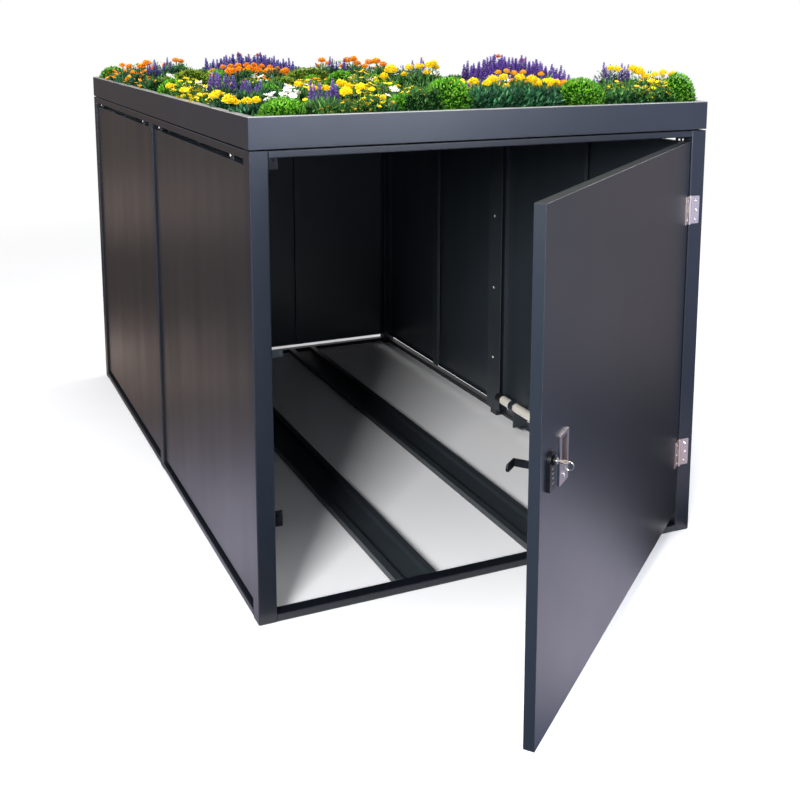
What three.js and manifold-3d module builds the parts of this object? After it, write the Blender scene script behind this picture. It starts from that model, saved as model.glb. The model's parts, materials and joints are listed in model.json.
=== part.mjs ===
// Bicycle locker with a planted roof. Millimetres, +Z up, X to the right, Y into the locker.
// Origin: middle of the underside of the front sill. The front plane of the frame is y = -25.
import * as THREE from 'three';
import { mergeVertices } from 'three/addons/utils/BufferGeometryUtils.js';
import Module from 'manifold-3d';

const wasm = await Module();
wasm.setup();

// ---------------------------------------------------------------- driving dimensions
const HALF_W = 690;            // half of the frame's width
const Y_FRONT = -25;           // front plane
const Y_BACK = 2275;           // rear plane
const POST = 50;               // square posts
const POST_WALL = 2;
const FRAME_TOP = 1236;        // top of posts and rails
const MID_Y = 1125;            // centre of the middle posts
const SILL_H = 20;
const SILL_D = 40;
const FRONT_RAIL_Z = 1218;     // underside of the front top rail
const SIDE_RAIL_Z = 1214;      // underside of the side and rear top rails
const TOP_RAIL_W = 25;
const BOT_RAIL_W = 30;
const BOT_RAIL_Z = 3;
const PANEL_Z0 = 38, PANEL_Z1 = 1196;  // side and rear panels, vent slots above and below
const PANEL_RECESS = 8;
const PANEL_DEPTH = 15;
const SHEET = 2;
const GAP = 0.3;
const TRAY_Z0 = 1240, RIM_Z = 1320, LIP_W = 18;
const SOIL_Z0 = 1242.3, SOIL_Z1 = 1300;
const PLANTS_TOP = 1436;

const DOOR_OPEN = THREE.MathUtils.degToRad(39.3);
const HINGE_X = 638.5, HINGE_Y = -30;
const DOOR_HALF = 637, DOOR_Z0 = 66, DOOR_Z1 = 1206, DOOR_T = 25;
const HINGE_LEN = 82, HINGE_LOW = 257, HINGE_UP = 1004;   // centres
const BARREL_R = 4.5;

const LOCK_X = HINGE_X - 1221;
const KNOB_Z = 680;
const PULL_X = HINGE_X - 1136;

const CHANNEL_X = 221, CHANNEL_HALF = 62.5, TROUGH_HALF = 42;
const BAR_X = 605, BAR_Z = 105, BAR_R = 17, BAR_Y0 = 232, BAR_Y1 = 985;

// ---------------------------------------------------------------- materials
const mat = (color, roughness, metalness) => new THREE.MeshStandardMaterial({ color, roughness, metalness });
const coat = () => mat(0x33363d, 0.42, 0.25);
const coatDark = () => mat(0x23262b, 0.5, 0.2);
const steel = () => mat(0xb9b4b0, 0.3, 0.95);
const black = () => mat(0x121314, 0.45, 0.1);
const zinc = () => mat(0xd8d2c6, 0.28, 0.6);

// ---------------------------------------------------------------- geometry helpers
function solid(geometry) {
  let g = geometry.clone();
  g.deleteAttribute('normal');
  g.deleteAttribute('uv');
  g = mergeVertices(g, 1e-4);
  const p = g.attributes.position.array;
  const idx = g.index.array;
  return new wasm.Manifold(new wasm.Mesh({ numProp: 3, vertProperties: new Float32Array(p), triVerts: new Uint32Array(idx) }));
}
function geometryOf(manifold) {
  const m = manifold.getMesh();
  const g = new THREE.BufferGeometry();
  const v = new Float32Array(m.numVert * 3);
  for (let i = 0; i < m.numVert; i++) for (let k = 0; k < 3; k++) v[3 * i + k] = m.vertProperties[i * m.numProp + k];
  g.setAttribute('position', new THREE.BufferAttribute(v, 3));
  g.setIndex(new THREE.BufferAttribute(new Uint32Array(m.triVerts), 1));
  return g;
}
const boxG = (x0, x1, y0, y1, z0, z1) => new THREE.BoxGeometry(x1 - x0, y1 - y0, z1 - z0).translate((x0 + x1) / 2, (y0 + y1) / 2, (z0 + z1) / 2);
const box = (...a) => solid(boxG(...a));

function shapeOf(points) {
  return new THREE.Shape(points.map(([x, y]) => new THREE.Vector2(x, y)));
}
function roundRect(x0, x1, y0, y1, r, seg = 3) {
  const pts = [];
  const corner = (cx, cy, a0) => {
    for (let i = 0; i <= seg; i++) {
      const a = a0 + (Math.PI / 2) * (i / seg);
      pts.push([cx + r * Math.cos(a), cy + r * Math.sin(a)]);
    }
  };
  corner(x1 - r, y1 - r, 0);
  corner(x0 + r, y1 - r, Math.PI / 2);
  corner(x0 + r, y0 + r, Math.PI);
  corner(x1 - r, y0 + r, 1.5 * Math.PI);
  return pts;
}
function extrude(shape, depth) {
  return new THREE.ExtrudeGeometry(shape, { depth, bevelEnabled: false, steps: 1 });
}
// profile in X,Y, swept from z0 to z1
const alongZ = (shape, z0, z1) => extrude(shape, z1 - z0).translate(0, 0, z0);
// profile in X,Z, swept from y0 to y1
const alongY = (shape, y0, y1) => extrude(shape, y1 - y0)
  .applyMatrix4(new THREE.Matrix4().makeBasis(new THREE.Vector3(1, 0, 0), new THREE.Vector3(0, 0, 1), new THREE.Vector3(0, -1, 0)))
  .translate(0, y1, 0);
// profile in Y,Z, swept from x0 to x1
const alongX = (shape, x0, x1) => extrude(shape, x1 - x0)
  .applyMatrix4(new THREE.Matrix4().makeBasis(new THREE.Vector3(0, 1, 0), new THREE.Vector3(0, 0, 1), new THREE.Vector3(1, 0, 0)))
  .translate(x0, 0, 0);
function hollow(outer, inner) {
  const s = shapeOf(outer);
  s.holes.push(new THREE.Path(inner.map(([x, y]) => new THREE.Vector2(x, y)).reverse()));
  return s;
}
const circle = (cx, cy, r, n = 20, a0 = 0) => Array.from({ length: n }, (_, i) => {
  const a = a0 + (2 * Math.PI * i) / n;
  return [cx + r * Math.cos(a), cy + r * Math.sin(a)];
});
const rodZ = (x, y, r, z0, z1, n = 20) => solid(alongZ(shapeOf(circle(x, y, r, n)), z0, z1));
const rodY = (x, z, r, y0, y1, n = 20) => solid(alongY(shapeOf(circle(x, z, r, n)), y0, y1));
const rodX = (y, z, r, x0, x1, n = 12) => solid(alongX(shapeOf(circle(y, z, r, n)), x0, x1));
// hexagon bolt head, axis along X or Y
const hexX = (y, z, r, x0, x1) => solid(alongX(shapeOf(circle(y, z, r, 6)), x0, x1));
const hexY = (x, z, r, y0, y1) => solid(alongY(shapeOf(circle(x, z, r, 6)), y0, y1));

const locker = new THREE.Group();
function add(parent, name, geometry, material) {
  const g = geometry.isBufferGeometry ? geometry : geometryOf(geometry);
  const mesh = new THREE.Mesh(g, material);
  mesh.name = name;
  parent.add(mesh);
  return mesh;
}
const fixed = (name, geometry, material = coat()) => add(locker, name, geometry, material);
const sides = [['left', -1], ['right', 1]];
const span = (s, a, b) => (s < 0 ? [-b, -a] : [a, b]);   // an x interval given for the right side

// ---------------------------------------------------------------- posts
function postTube(x0, x1, y0, y1) {
  return alongZ(hollow(roundRect(x0, x1, y0, y1, 3), roundRect(x0 + POST_WALL, x1 - POST_WALL, y0 + POST_WALL, y1 - POST_WALL, 1.2, 2)), 0, FRAME_TOP);
}
for (const [side, s] of sides) {
  const [x0, x1] = span(s, HALF_W - POST, HALF_W);
  fixed(`post_front_${side}`, postTube(x0, x1, Y_FRONT, Y_FRONT + POST));
  fixed(`post_rear_${side}`, postTube(x0, x1, Y_BACK - POST, Y_BACK));
}
// the middle posts stop under the side top rails
for (const [side, s] of sides) {
  const [x0, x1] = span(s, HALF_W - POST, HALF_W);
  fixed(`post_mid_${side}`, alongZ(hollow(roundRect(x0, x1, MID_Y - 25, MID_Y + 25, 3),
    roundRect(x0 + POST_WALL, x1 - POST_WALL, MID_Y - 23, MID_Y + 23, 1.2, 2)), 0, SIDE_RAIL_Z - GAP));
}

// ---------------------------------------------------------------- rails
const inX = HALF_W - POST - GAP;
fixed('front_top_rail', alongX(hollow(roundRect(Y_FRONT, Y_FRONT + SILL_D, FRONT_RAIL_Z, FRAME_TOP, 2),
  roundRect(Y_FRONT + 1.5, Y_FRONT + SILL_D - 1.5, FRONT_RAIL_Z + 1.5, FRAME_TOP - 1.5, 1, 2)), -inX, inX));
fixed('front_sill', alongX(hollow(roundRect(Y_FRONT, Y_FRONT + SILL_D, 0, SILL_H, 2),
  roundRect(Y_FRONT + 1.5, Y_FRONT + SILL_D - 1.5, 1.5, SILL_H - 1.5, 1, 2)), -inX, inX));
fixed('rear_top_rail', alongX(hollow(roundRect(Y_BACK - TOP_RAIL_W, Y_BACK, SIDE_RAIL_Z, FRAME_TOP, 2),
  roundRect(Y_BACK - TOP_RAIL_W + 1.5, Y_BACK - 1.5, SIDE_RAIL_Z + 1.5, FRAME_TOP - 1.5, 1, 2)), -inX, inX));
fixed('rear_bottom_rail', alongX(hollow(roundRect(Y_BACK - BOT_RAIL_W, Y_BACK, BOT_RAIL_Z, SILL_H, 2),
  roundRect(Y_BACK - BOT_RAIL_W + 1.5, Y_BACK - 1.5, BOT_RAIL_Z + 1.5, SILL_H - 1.5, 1, 2)), -inX, inX));
const railY0 = Y_FRONT + POST + GAP, railY1 = Y_BACK - POST - GAP;
for (const [side, s] of sides) {
  const [a, b] = span(s, HALF_W - TOP_RAIL_W, HALF_W);
  fixed(`top_rail_${side}`, alongY(hollow(roundRect(a, b, SIDE_RAIL_Z, FRAME_TOP, 2),
    roundRect(a + 1.5, b - 1.5, SIDE_RAIL_Z + 1.5, FRAME_TOP - 1.5, 1, 2)), railY0, railY1));
  const [c, d] = span(s, HALF_W - BOT_RAIL_W, HALF_W);
  const low = () => hollow(roundRect(c, d, BOT_RAIL_Z, SILL_H, 2), roundRect(c + 1.5, d - 1.5, BOT_RAIL_Z + 1.5, SILL_H - 1.5, 1, 2));
  fixed(`bottom_rail_${side}_front`, alongY(low(), railY0, MID_Y - 25 - GAP));
  fixed(`bottom_rail_${side}_rear`, alongY(low(), MID_Y + 25 + GAP, railY1));
}

// ---------------------------------------------------------------- panels: folded pans, open towards the inside
function sidePanel(s, y0, y1) {
  const xo = HALF_W - PANEL_RECESS, xi = xo - PANEL_DEPTH;
  const [a, b] = span(s, xi, xo);
  const [c, d] = span(s, xi - 1, xo - SHEET);
  let pan = box(a, b, y0, y1, PANEL_Z0, PANEL_Z1).subtract(box(c, d, y0 + SHEET, y1 - SHEET, PANEL_Z0 + SHEET, PANEL_Z1 - SHEET));
  // hanger tabs that stand up into the vent slot, each with its bolt
  for (const y of [y0 + 165, y1 - 48]) {
    const [e, f] = span(s, xi + 2.5, xi + 4.5);
    pan = pan.add(box(e, f, y - 14, y + 14, PANEL_Z1 - 6, SIDE_RAIL_Z - GAP));
    const [g, h] = span(s, xi + 4, xi + 8);
    pan = pan.add(hexX(y, PANEL_Z1 + 9, 5, g, h));
  }
  return pan;
}
for (const [side, s] of sides) {
  fixed(`side_panel_${side}_front`, sidePanel(s, railY0, MID_Y - 25 - GAP));
  fixed(`side_panel_${side}_rear`, sidePanel(s, MID_Y + 25 + GAP, railY1));
}
{
  const yo = Y_BACK - PANEL_RECESS, yi = yo - PANEL_DEPTH;
  let pan = box(-inX, inX, yi, yo, PANEL_Z0, PANEL_Z1).subtract(box(-inX + SHEET, inX - SHEET, yi - 1, yo - SHEET, PANEL_Z0 + SHEET, PANEL_Z1 - SHEET));
  for (const x of [-590, 590]) {
    pan = pan.add(box(x - 14, x + 14, yi + 2.5, yi + 4.5, PANEL_Z1 - 6, SIDE_RAIL_Z - GAP));
    pan = pan.add(hexY(x, PANEL_Z1 + 9, 5, yi + 4, yi + 8));
  }
  // two upright ribs welded inside the pan
  for (const x of [-215, 215]) pan = pan.add(box(x - 18, x + 18, yi, yo - 1, PANEL_Z0 + 1, PANEL_Z1 - 1));
  fixed('rear_panel', pan);
}
// upright stiffeners inside the side panels
for (const [side, s] of sides) {
  for (const [bay, yc] of [['front', 562.5], ['rear', 1687.5]]) {
    const outer = HALF_W - PANEL_RECESS - PANEL_DEPTH - GAP;
    const [a, b] = span(s, outer - 12, outer);
    const [c, d] = span(s, outer - 10, outer + 1);
    fixed(`panel_stiffener_${side}_${bay}`, box(a, b, yc - 20, yc + 20, PANEL_Z0 + 4, PANEL_Z1 - 4)
      .subtract(box(c, d, yc - 18, yc + 18, PANEL_Z0, PANEL_Z1)), coatDark());
  }
  // cover strip on the inner face of the middle post, with its bolts
  const [e, f] = span(s, HALF_W - POST - GAP - 3, HALF_W - POST - GAP);
  let strip = box(e, f, MID_Y - 50, MID_Y + 50, 26, 1199);
  for (const z of [236, 520, 805, 1090]) {
    const [g, h] = span(s, HALF_W - POST - GAP - 6.5, HALF_W - POST - GAP - 1);
    strip = strip.add(rodX(MID_Y, z, 6.5, g, h, 12));
  }
  fixed(`mid_cover_strip_${side}`, strip, coatDark());
}

// ---------------------------------------------------------------- roof: beams, planter tray, soil and planting
// the middle beam ends at the middle posts, the others at the side rails
for (const [name, yc, end] of [['roof_beam_front', 562.5, HALF_W - TOP_RAIL_W - GAP], ['roof_beam_mid', MID_Y, HALF_W - POST - GAP], ['roof_beam_rear', 1687.5, HALF_W - TOP_RAIL_W - GAP]]) {
  fixed(name, alongX(hollow(roundRect(yc - 20, yc + 20, 1201, TRAY_Z0 - GAP, 2), roundRect(yc - 18, yc + 18, 1203, TRAY_Z0 - GAP - 2, 1, 2)),
    -end, end), coatDark());
}
{
  let tray = box(-HALF_W, HALF_W, Y_FRONT, Y_BACK, TRAY_Z0, RIM_Z)
    .subtract(box(-HALF_W + SHEET, HALF_W - SHEET, Y_FRONT + SHEET, Y_BACK - SHEET, TRAY_Z0 + SHEET, RIM_Z - SHEET))
    .subtract(box(-HALF_W + LIP_W, HALF_W - LIP_W, Y_FRONT + LIP_W, Y_BACK - LIP_W, RIM_Z - 5, RIM_Z + 5));
  fixed('planter_tray', tray);
}
fixed('soil', boxG(-HALF_W + SHEET + GAP, HALF_W - SHEET - GAP, Y_FRONT + SHEET + GAP, Y_BACK - SHEET - GAP, SOIL_Z0, SOIL_Z1), mat(0x3a2c20, 0.95, 0));

// planting: a closed, gently bumpy cushion that fills the room the flowers take
function bed(x0, x1, y0, y1, z0, nx, ny, height) {
  const pos = [], idx = [];
  const at = (i, j) => j * (nx + 1) + i;
  for (let j = 0; j <= ny; j++) for (let i = 0; i <= nx; i++) {
    const x = x0 + ((x1 - x0) * i) / nx, y = y0 + ((y1 - y0) * j) / ny;
    const edge = i === 0 || j === 0 || i === nx || j === ny;
    pos.push(x, y, edge ? z0 + 34 : height(x, y));
  }
  const n = (nx + 1) * (ny + 1);
  for (let j = 0; j <= ny; j++) for (let i = 0; i <= nx; i++) pos.push(x0 + ((x1 - x0) * i) / nx, y0 + ((y1 - y0) * j) / ny, z0);
  for (let j = 0; j < ny; j++) for (let i = 0; i < nx; i++) {
    const a = at(i, j), b = at(i + 1, j), c = at(i + 1, j + 1), d = at(i, j + 1);
    idx.push(a, b, c, a, c, d);
    idx.push(n + a, n + c, n + b, n + a, n + d, n + c);
  }
  for (let i = 0; i < nx; i++) {
    let a = at(i, 0), b = at(i + 1, 0);
    idx.push(n + a, n + b, b, n + a, b, a);
    a = at(i, ny); b = at(i + 1, ny);
    idx.push(n + b, n + a, a, n + b, a, b);
  }
  for (let j = 0; j < ny; j++) {
    let a = at(nx, j), b = at(nx, j + 1);
    idx.push(n + a, n + b, b, n + a, b, a);
    a = at(0, j); b = at(0, j + 1);
    idx.push(n + b, n + a, a, n + b, a, b);
  }
  const g = new THREE.BufferGeometry();
  g.setAttribute('position', new THREE.BufferAttribute(new Float32Array(pos), 3));
  g.setIndex(idx);
  return g;
}
const bump = (x, y) => {
  const h = 0.5 + 0.28 * Math.sin(x * 0.021 + 0.6 * Math.sin(y * 0.013)) + 0.22 * Math.sin(y * 0.019 + 1.3);
  return PLANTS_TOP - 52 + 52 * Math.min(1, Math.max(0, h));
};
const bedX = HALF_W - LIP_W - 2;
fixed('flower_bed_front', bed(-bedX, bedX, Y_FRONT + LIP_W + 2, 1124, SOIL_Z1 + GAP, 16, 14, bump), mat(0x5f9a35, 0.9, 0));
fixed('flower_bed_rear', bed(-bedX, bedX, 1126, Y_BACK - LIP_W - 2, SOIL_Z1 + GAP, 16, 14, bump), mat(0x5f9a35, 0.9, 0));

// ---------------------------------------------------------------- wheel channels, folded sheet
for (const [side, s] of sides) {
  const c = s * CHANNEL_X, t = 2.5, W = CHANNEL_HALF, T = TROUGH_HALF;
  const out = [[-W, 0.5], [-W, SILL_H], [-T + t, SILL_H], [-T + t, 3 + t], [T - t, 3 + t], [T - t, SILL_H], [W, SILL_H], [W, 0.5]];
  const back = [[W - t, 0.5], [W - t, SILL_H - t], [T, SILL_H - t], [T, 3], [-T, 3], [-T, SILL_H - t], [-W + t, SILL_H - t], [-W + t, 0.5]];
  const pts = [...out, ...back].map(([x, z]) => [c + x, z]).reverse();
  fixed(`wheel_channel_${side}`, alongY(shapeOf(pts), Y_FRONT + SILL_D + GAP, Y_BACK - BOT_RAIL_W - GAP), coatDark());
}

// ---------------------------------------------------------------- securing bar on the right
fixed('securing_bar', alongY(hollow(circle(BAR_X, BAR_Z, BAR_R, 28), circle(BAR_X, BAR_Z, BAR_R - 2, 28)), BAR_Y0, BAR_Y1), zinc());
fixed('securing_bar_cap', rodY(BAR_X, BAR_Z, BAR_R + 1.5, BAR_Y1 + GAP, BAR_Y1 + 36, 24)
  .add(rodY(BAR_X, BAR_Z, BAR_R - 2.6, BAR_Y1 - 22, BAR_Y1 + 2, 24)), black());
for (const [name, y] of [['bar_bracket_front', 330], ['bar_bracket_rear', 902]]) {
  let b = box(HALF_W - BOT_RAIL_W - 40, HALF_W - BOT_RAIL_W + 14, y - 28, y + 28, SILL_H + GAP, SILL_H + GAP + 5);
  b = b.add(box(BAR_X - 3, BAR_X + 57, y - 3, y + 3, SILL_H + 2, BAR_Z));
  b = b.add(rodY(BAR_X, BAR_Z, BAR_R + 4.5, y - 14, y + 14, 28));
  b = b.subtract(rodY(BAR_X, BAR_Z, BAR_R + 0.4, y - 20, y + 20, 28));
  fixed(name, b, coatDark());
}

// ---------------------------------------------------------------- stops, buffer and keeper
for (const [side, s] of sides) {
  const [a, b] = span(s, HALF_W - POST - 33, HALF_W - POST - GAP);
  let br = box(a, b, 6, 9, 1186, FRONT_RAIL_Z - GAP);
  const [c, d] = span(s, HALF_W - POST - 3, HALF_W - POST - GAP);
  br = br.add(box(c, d, 6, 24, 1186, FRONT_RAIL_Z - GAP));
  for (const k of [9, 22]) br = br.add(rodY(s * (HALF_W - POST - k - 2), 1209, 3.6, 2.5, 7, 12));
  fixed(`top_corner_bracket_${side}`, br, black());
}
fixed('door_buffer', box(-HALF_W + POST + GAP, -HALF_W + POST + 28, 3, 6, 250, 293)
  .add(box(-HALF_W + POST + GAP, -HALF_W + POST + 3, 3, 24, 250, 293))
  .add(rodY(-HALF_W + POST + 17, 271.5, 8, 0.6, 4, 16)), black());
fixed('lock_keeper', box(-HALF_W + POST + GAP, -HALF_W + POST + 48, 40, 43, 695, 715)
  .add(box(-HALF_W + POST + GAP, -HALF_W + POST + 3, 18, 43, 695, 715)), coatDark());

// ---------------------------------------------------------------- hinges
function leaf(onPost, zc) {
  const z0 = zc - HINGE_LEN / 2, third = HINGE_LEN / 3;
  const ya = -27.6, yb = Y_FRONT - GAP;
  const seg = onPost ? [[z0, z0 + third - 0.25], [z0 + 2 * third + 0.25, z0 + HINGE_LEN]] : [[z0 + third + 0.25, z0 + 2 * third - 0.25]];
  const [px0, px1] = onPost ? [643.8, 674] : [603, 633.2];
  let m = solid(alongY(shapeOf(roundRect(px0, px1, z0, z0 + HINGE_LEN, 2, 2)), ya, yb));
  for (const [a, b] of seg) {
    m = m.add(onPost ? box(HINGE_X, px0 + 2, ya, yb, a, b) : box(px1 - 2, HINGE_X, ya, yb, a, b));
    m = m.add(rodZ(HINGE_X, HINGE_Y, BARREL_R, a, b, 20));
  }
  for (const [a, b] of seg) m = m.subtract(rodZ(HINGE_X, HINGE_Y, 2.5, a - 1, b + 1, 16));
  if (onPost) {
    // the pin is riveted into this leaf: a shaft with a head at each end
    m = m.add(rodZ(HINGE_X, HINGE_Y, 2.2, z0 - 0.5, z0 + HINGE_LEN + 0.5, 16));
    m = m.add(rodZ(HINGE_X, HINGE_Y, 3.4, z0 - 1.8, z0 + 0.4, 16)).add(rodZ(HINGE_X, HINGE_Y, 3.4, z0 + HINGE_LEN - 0.4, z0 + HINGE_LEN + 1.8, 16));
  }
  // countersunk screws, three in a zigzag
  const xs = onPost ? [px0 + 15.5, px0 + 19, px0 + 15.5] : [px1 - 15.5, px1 - 19, px1 - 15.5];
  xs.forEach((x, i) => { m = m.add(rodY(x, z0 + 13 + i * (HINGE_LEN - 26) / 2, 4, ya - 0.8, ya + 0.5, 14)); });
  return m;
}
fixed('hinge_upper_post_leaf', leaf(true, HINGE_UP), steel());
fixed('hinge_lower_post_leaf', leaf(true, HINGE_LOW), steel());

// ---------------------------------------------------------------- door, drawn closed and turned open about the hinge pins
const swing = new THREE.Group();
swing.position.set(HINGE_X, HINGE_Y, 0);
swing.rotation.z = DOOR_OPEN;
locker.add(swing);
const door = new THREE.Group();
door.position.set(-HINGE_X, -HINGE_Y, 0);
swing.add(door);
const hung = (name, geometry, material = coat()) => add(door, name, geometry, material);

const DY0 = Y_FRONT, DY1 = Y_FRONT + DOOR_T;
{
  let pan = box(-DOOR_HALF, DOOR_HALF, DY0, DY1, DOOR_Z0, DOOR_Z1)
    .subtract(box(-DOOR_HALF + SHEET, DOOR_HALF - SHEET, DY0 + SHEET, DY1 - SHEET, DOOR_Z0 + SHEET, DOOR_Z1 - SHEET))
    .subtract(box(-DOOR_HALF + 18, DOOR_HALF - 18, DY1 - 5, DY1 + 5, DOOR_Z0 + 18, DOOR_Z1 - 18));
  pan = pan.subtract(box(LOCK_X - 12, LOCK_X + 12, DY0 - 2, DY0 + 6, 619, 692));
  pan = pan.subtract(box(PULL_X - 20.8, PULL_X + 20.8, DY0 - 2, DY0 + 6, 633, 705));
  hung('door_panel', pan);
}
{
  // inner sheet with three pressed ribs, let in between the folded edges
  const x1 = DOOR_HALF - 18.4, y1 = DY1 - 0.4, y0 = y1 - 2, dip = 9;
  const line = [[-x1, 0]];
  for (const c of [-330, 60, 400]) line.push([c - 34, 0], [c - 26, dip], [c + 26, dip], [c + 34, 0]);
  line.push([x1, 0]);
  const pts = [...line.map(([x, d]) => [x, y1 - d]), ...line.slice().reverse().map(([x, d]) => [x, y0 - d])];
  let m = solid(alongZ(shapeOf(pts.slice().reverse()), DOOR_Z0 + 18.4, DOOR_Z1 - 18.4));
  m = m.subtract(box(LOCK_X - 12.5, LOCK_X + 12.5, y0 - 4, y1 + 2, 622, 692));
  hung('door_liner', m);
}
hung('hinge_upper_door_leaf', leaf(false, HINGE_UP), steel());
hung('hinge_lower_door_leaf', leaf(false, HINGE_LOW), steel());

// lock housing: a long black plate with the body behind it, the dial window and the dial axle
const PLATE_Y = Y_FRONT - 8;
const DIAL_Y = -26.2, DIAL_R = 8.2, DIAL_Z = [632.1, 642.4, 652.7, 663.0];
{
  // small corners below, a half circle around the knob above
  const plate = [...roundRect(LOCK_X - 19, LOCK_X + 19, 616, 690, 3, 3).filter(([, z]) => z < 650), ...Array.from({ length: 19 }, (_, i) => {
    const a = (Math.PI * i) / 18;
    return [LOCK_X + 19 * Math.cos(a), 680 + 19 * Math.sin(a)];
  })];
  let m = solid(alongY(shapeOf(plate), PLATE_Y, Y_FRONT - GAP));
  m = m.add(box(LOCK_X - 11, LOCK_X + 11, Y_FRONT - 2, 3, 624, 690));
  m = m.subtract(rodY(LOCK_X, KNOB_Z, 6.4, PLATE_Y - 2, 6, 24));
  m = m.subtract(box(LOCK_X - 6.6, LOCK_X + 6.6, PLATE_Y - 2, PLATE_Y + 4, 626.6, 668.6));
  m = m.subtract(box(LOCK_X - 9, LOCK_X + 9, PLATE_Y + 1.2, -16.5, 626.6, 668.6));
  m = m.add(rodZ(LOCK_X, DIAL_Y, 1.7, 625, 670, 12));
  hung('lock_housing', m, black());
}
DIAL_Z.forEach((z, i) => {
  const n = 40;
  const rim = Array.from({ length: n }, (_, k) => {
    const a = (2 * Math.PI * k) / n, r = k % 4 < 2 ? DIAL_R : DIAL_R - 0.5;
    return [LOCK_X + r * Math.cos(a), DIAL_Y + r * Math.sin(a)];
  });
  hung(`dial_${i + 1}`, alongZ(hollow(rim, circle(LOCK_X, DIAL_Y, 2.1, 12)), z - 4.5, z + 4.5), mat(0x2a2b2d, 0.4, 0.1));
});

// pull plate: stainless, with a cup let into the door and a lip to grip
{
  const t = 3, yo = Y_FRONT - GAP - t, yb = Y_FRONT - GAP;
  let m = solid(alongY(shapeOf(roundRect(PULL_X - 28.5, PULL_X + 28.5, 600, 711, 2.5, 3)), yo, yb));
  m = m.add(box(PULL_X - 20, PULL_X + 20, yb - 1, -10.8, 634, 704));
  m = m.subtract(box(PULL_X - 18.6, PULL_X + 18.6, yb - 1.6, -12.2, 635.4, 702.6));
  m = m.subtract(box(PULL_X - 16.5, PULL_X + 18.6, yo - 2, yb, 641, 702.6));
  m = m.add(rodY(PULL_X - 3, 619, 5.5, yo - 2, yo + 0.5, 16));
  hung('pull_plate', m, steel());
}

// knob with its shaft, and the cranked cam on the inside
{
  let m = rodY(LOCK_X, KNOB_Z, 10.5, PLATE_Y - GAP - 9.5, PLATE_Y - GAP, 28);
  m = m.add(rodY(LOCK_X, KNOB_Z, 6, PLATE_Y - 2, 15, 24));
  m = m.subtract(box(LOCK_X - 4.6, LOCK_X + 4.6, PLATE_Y - 16, PLATE_Y + 6, KNOB_Z - 1.4, KNOB_Z + 1.4));
  // two shallow grip flats across the front
  m = m.subtract(box(LOCK_X - 12, LOCK_X + 12, PLATE_Y - 16, PLATE_Y - 5, KNOB_Z + 8, KNOB_Z + 13));
  m = m.subtract(box(LOCK_X - 12, LOCK_X + 12, PLATE_Y - 16, PLATE_Y - 5, KNOB_Z - 13, KNOB_Z - 8));
  hung('lock_knob', m, black());
}
{
  const lx = LOCK_X, arm0 = 656, arm1 = 672;
  let m = box(lx - 10, lx + 10, 6, 10, arm0, KNOB_Z + 10);              // base plate on the shaft
  m = m.add(box(lx - 10.5, lx - 6.3, 6, 50, arm0, arm1));                // leg, inward
  // the arm points at the free edge, with a rounded tip
  const tip = -50, pts = [[lx - 6.3, arm0], [lx - 6.3, arm1], [lx + tip + 6, arm1], [lx + tip + 2, arm1 - 2.4], [lx + tip, arm1 - 7], [lx + tip, arm0 + 7], [lx + tip + 2, arm0 + 2.4], [lx + tip + 6, arm0]];
  m = m.add(solid(alongY(shapeOf(pts), 46, 50)));
  m = m.subtract(rodY(lx, KNOB_Z, 6.3, 4, 12, 24));
  // hexagon nut behind the plate, joined to it
  m = m.add(hexY(lx, KNOB_Z, 9.5, 10, 14)).subtract(rodY(lx, KNOB_Z, 6.3, 4, 20, 24));
  hung('lock_cam', m, black());
}
// key, flat side level, and the ring through its bow
const BOW_Y = -56.3, HOLE_Y = -59.3;
{
  let bow = solid(alongZ(shapeOf(circle(LOCK_X, BOW_Y, 9.5, 28)), KNOB_Z - 1, KNOB_Z + 1));
  bow = bow.add(box(LOCK_X - 4, LOCK_X + 4, BOW_Y + 6, PLATE_Y + 3, KNOB_Z - 1, KNOB_Z + 1));
  bow = bow.subtract(rodZ(LOCK_X, HOLE_Y, 3.2, KNOB_Z - 3, KNOB_Z + 3, 18));
  // three cuts along one edge of the blade
  for (const [y, d] of [[-46, 1.2], [-41, 1.8], [-36, 1.0]]) bow = bow.subtract(box(LOCK_X - 5, LOCK_X - 4 + d, y - 1.4, y + 1.4, KNOB_Z - 2, KNOB_Z + 2));
  hung('key', bow, steel());
}
{
  const ring = new THREE.TorusGeometry(9, 0.9, 8, 36);   // in its own X,Y plane
  ring.rotateY(Math.PI / 2);                                 // into the Y,Z plane
  ring.translate(LOCK_X, HOLE_Y - 6.69, KNOB_Z - 6.02);
  ring.deleteAttribute('uv');
  hung('key_ring', geometryOf(solid(ring)), steel());
}

export default locker;
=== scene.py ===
import json
import math

import bmesh
import bpy
import numpy as np
from mathutils import Matrix, Vector

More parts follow.
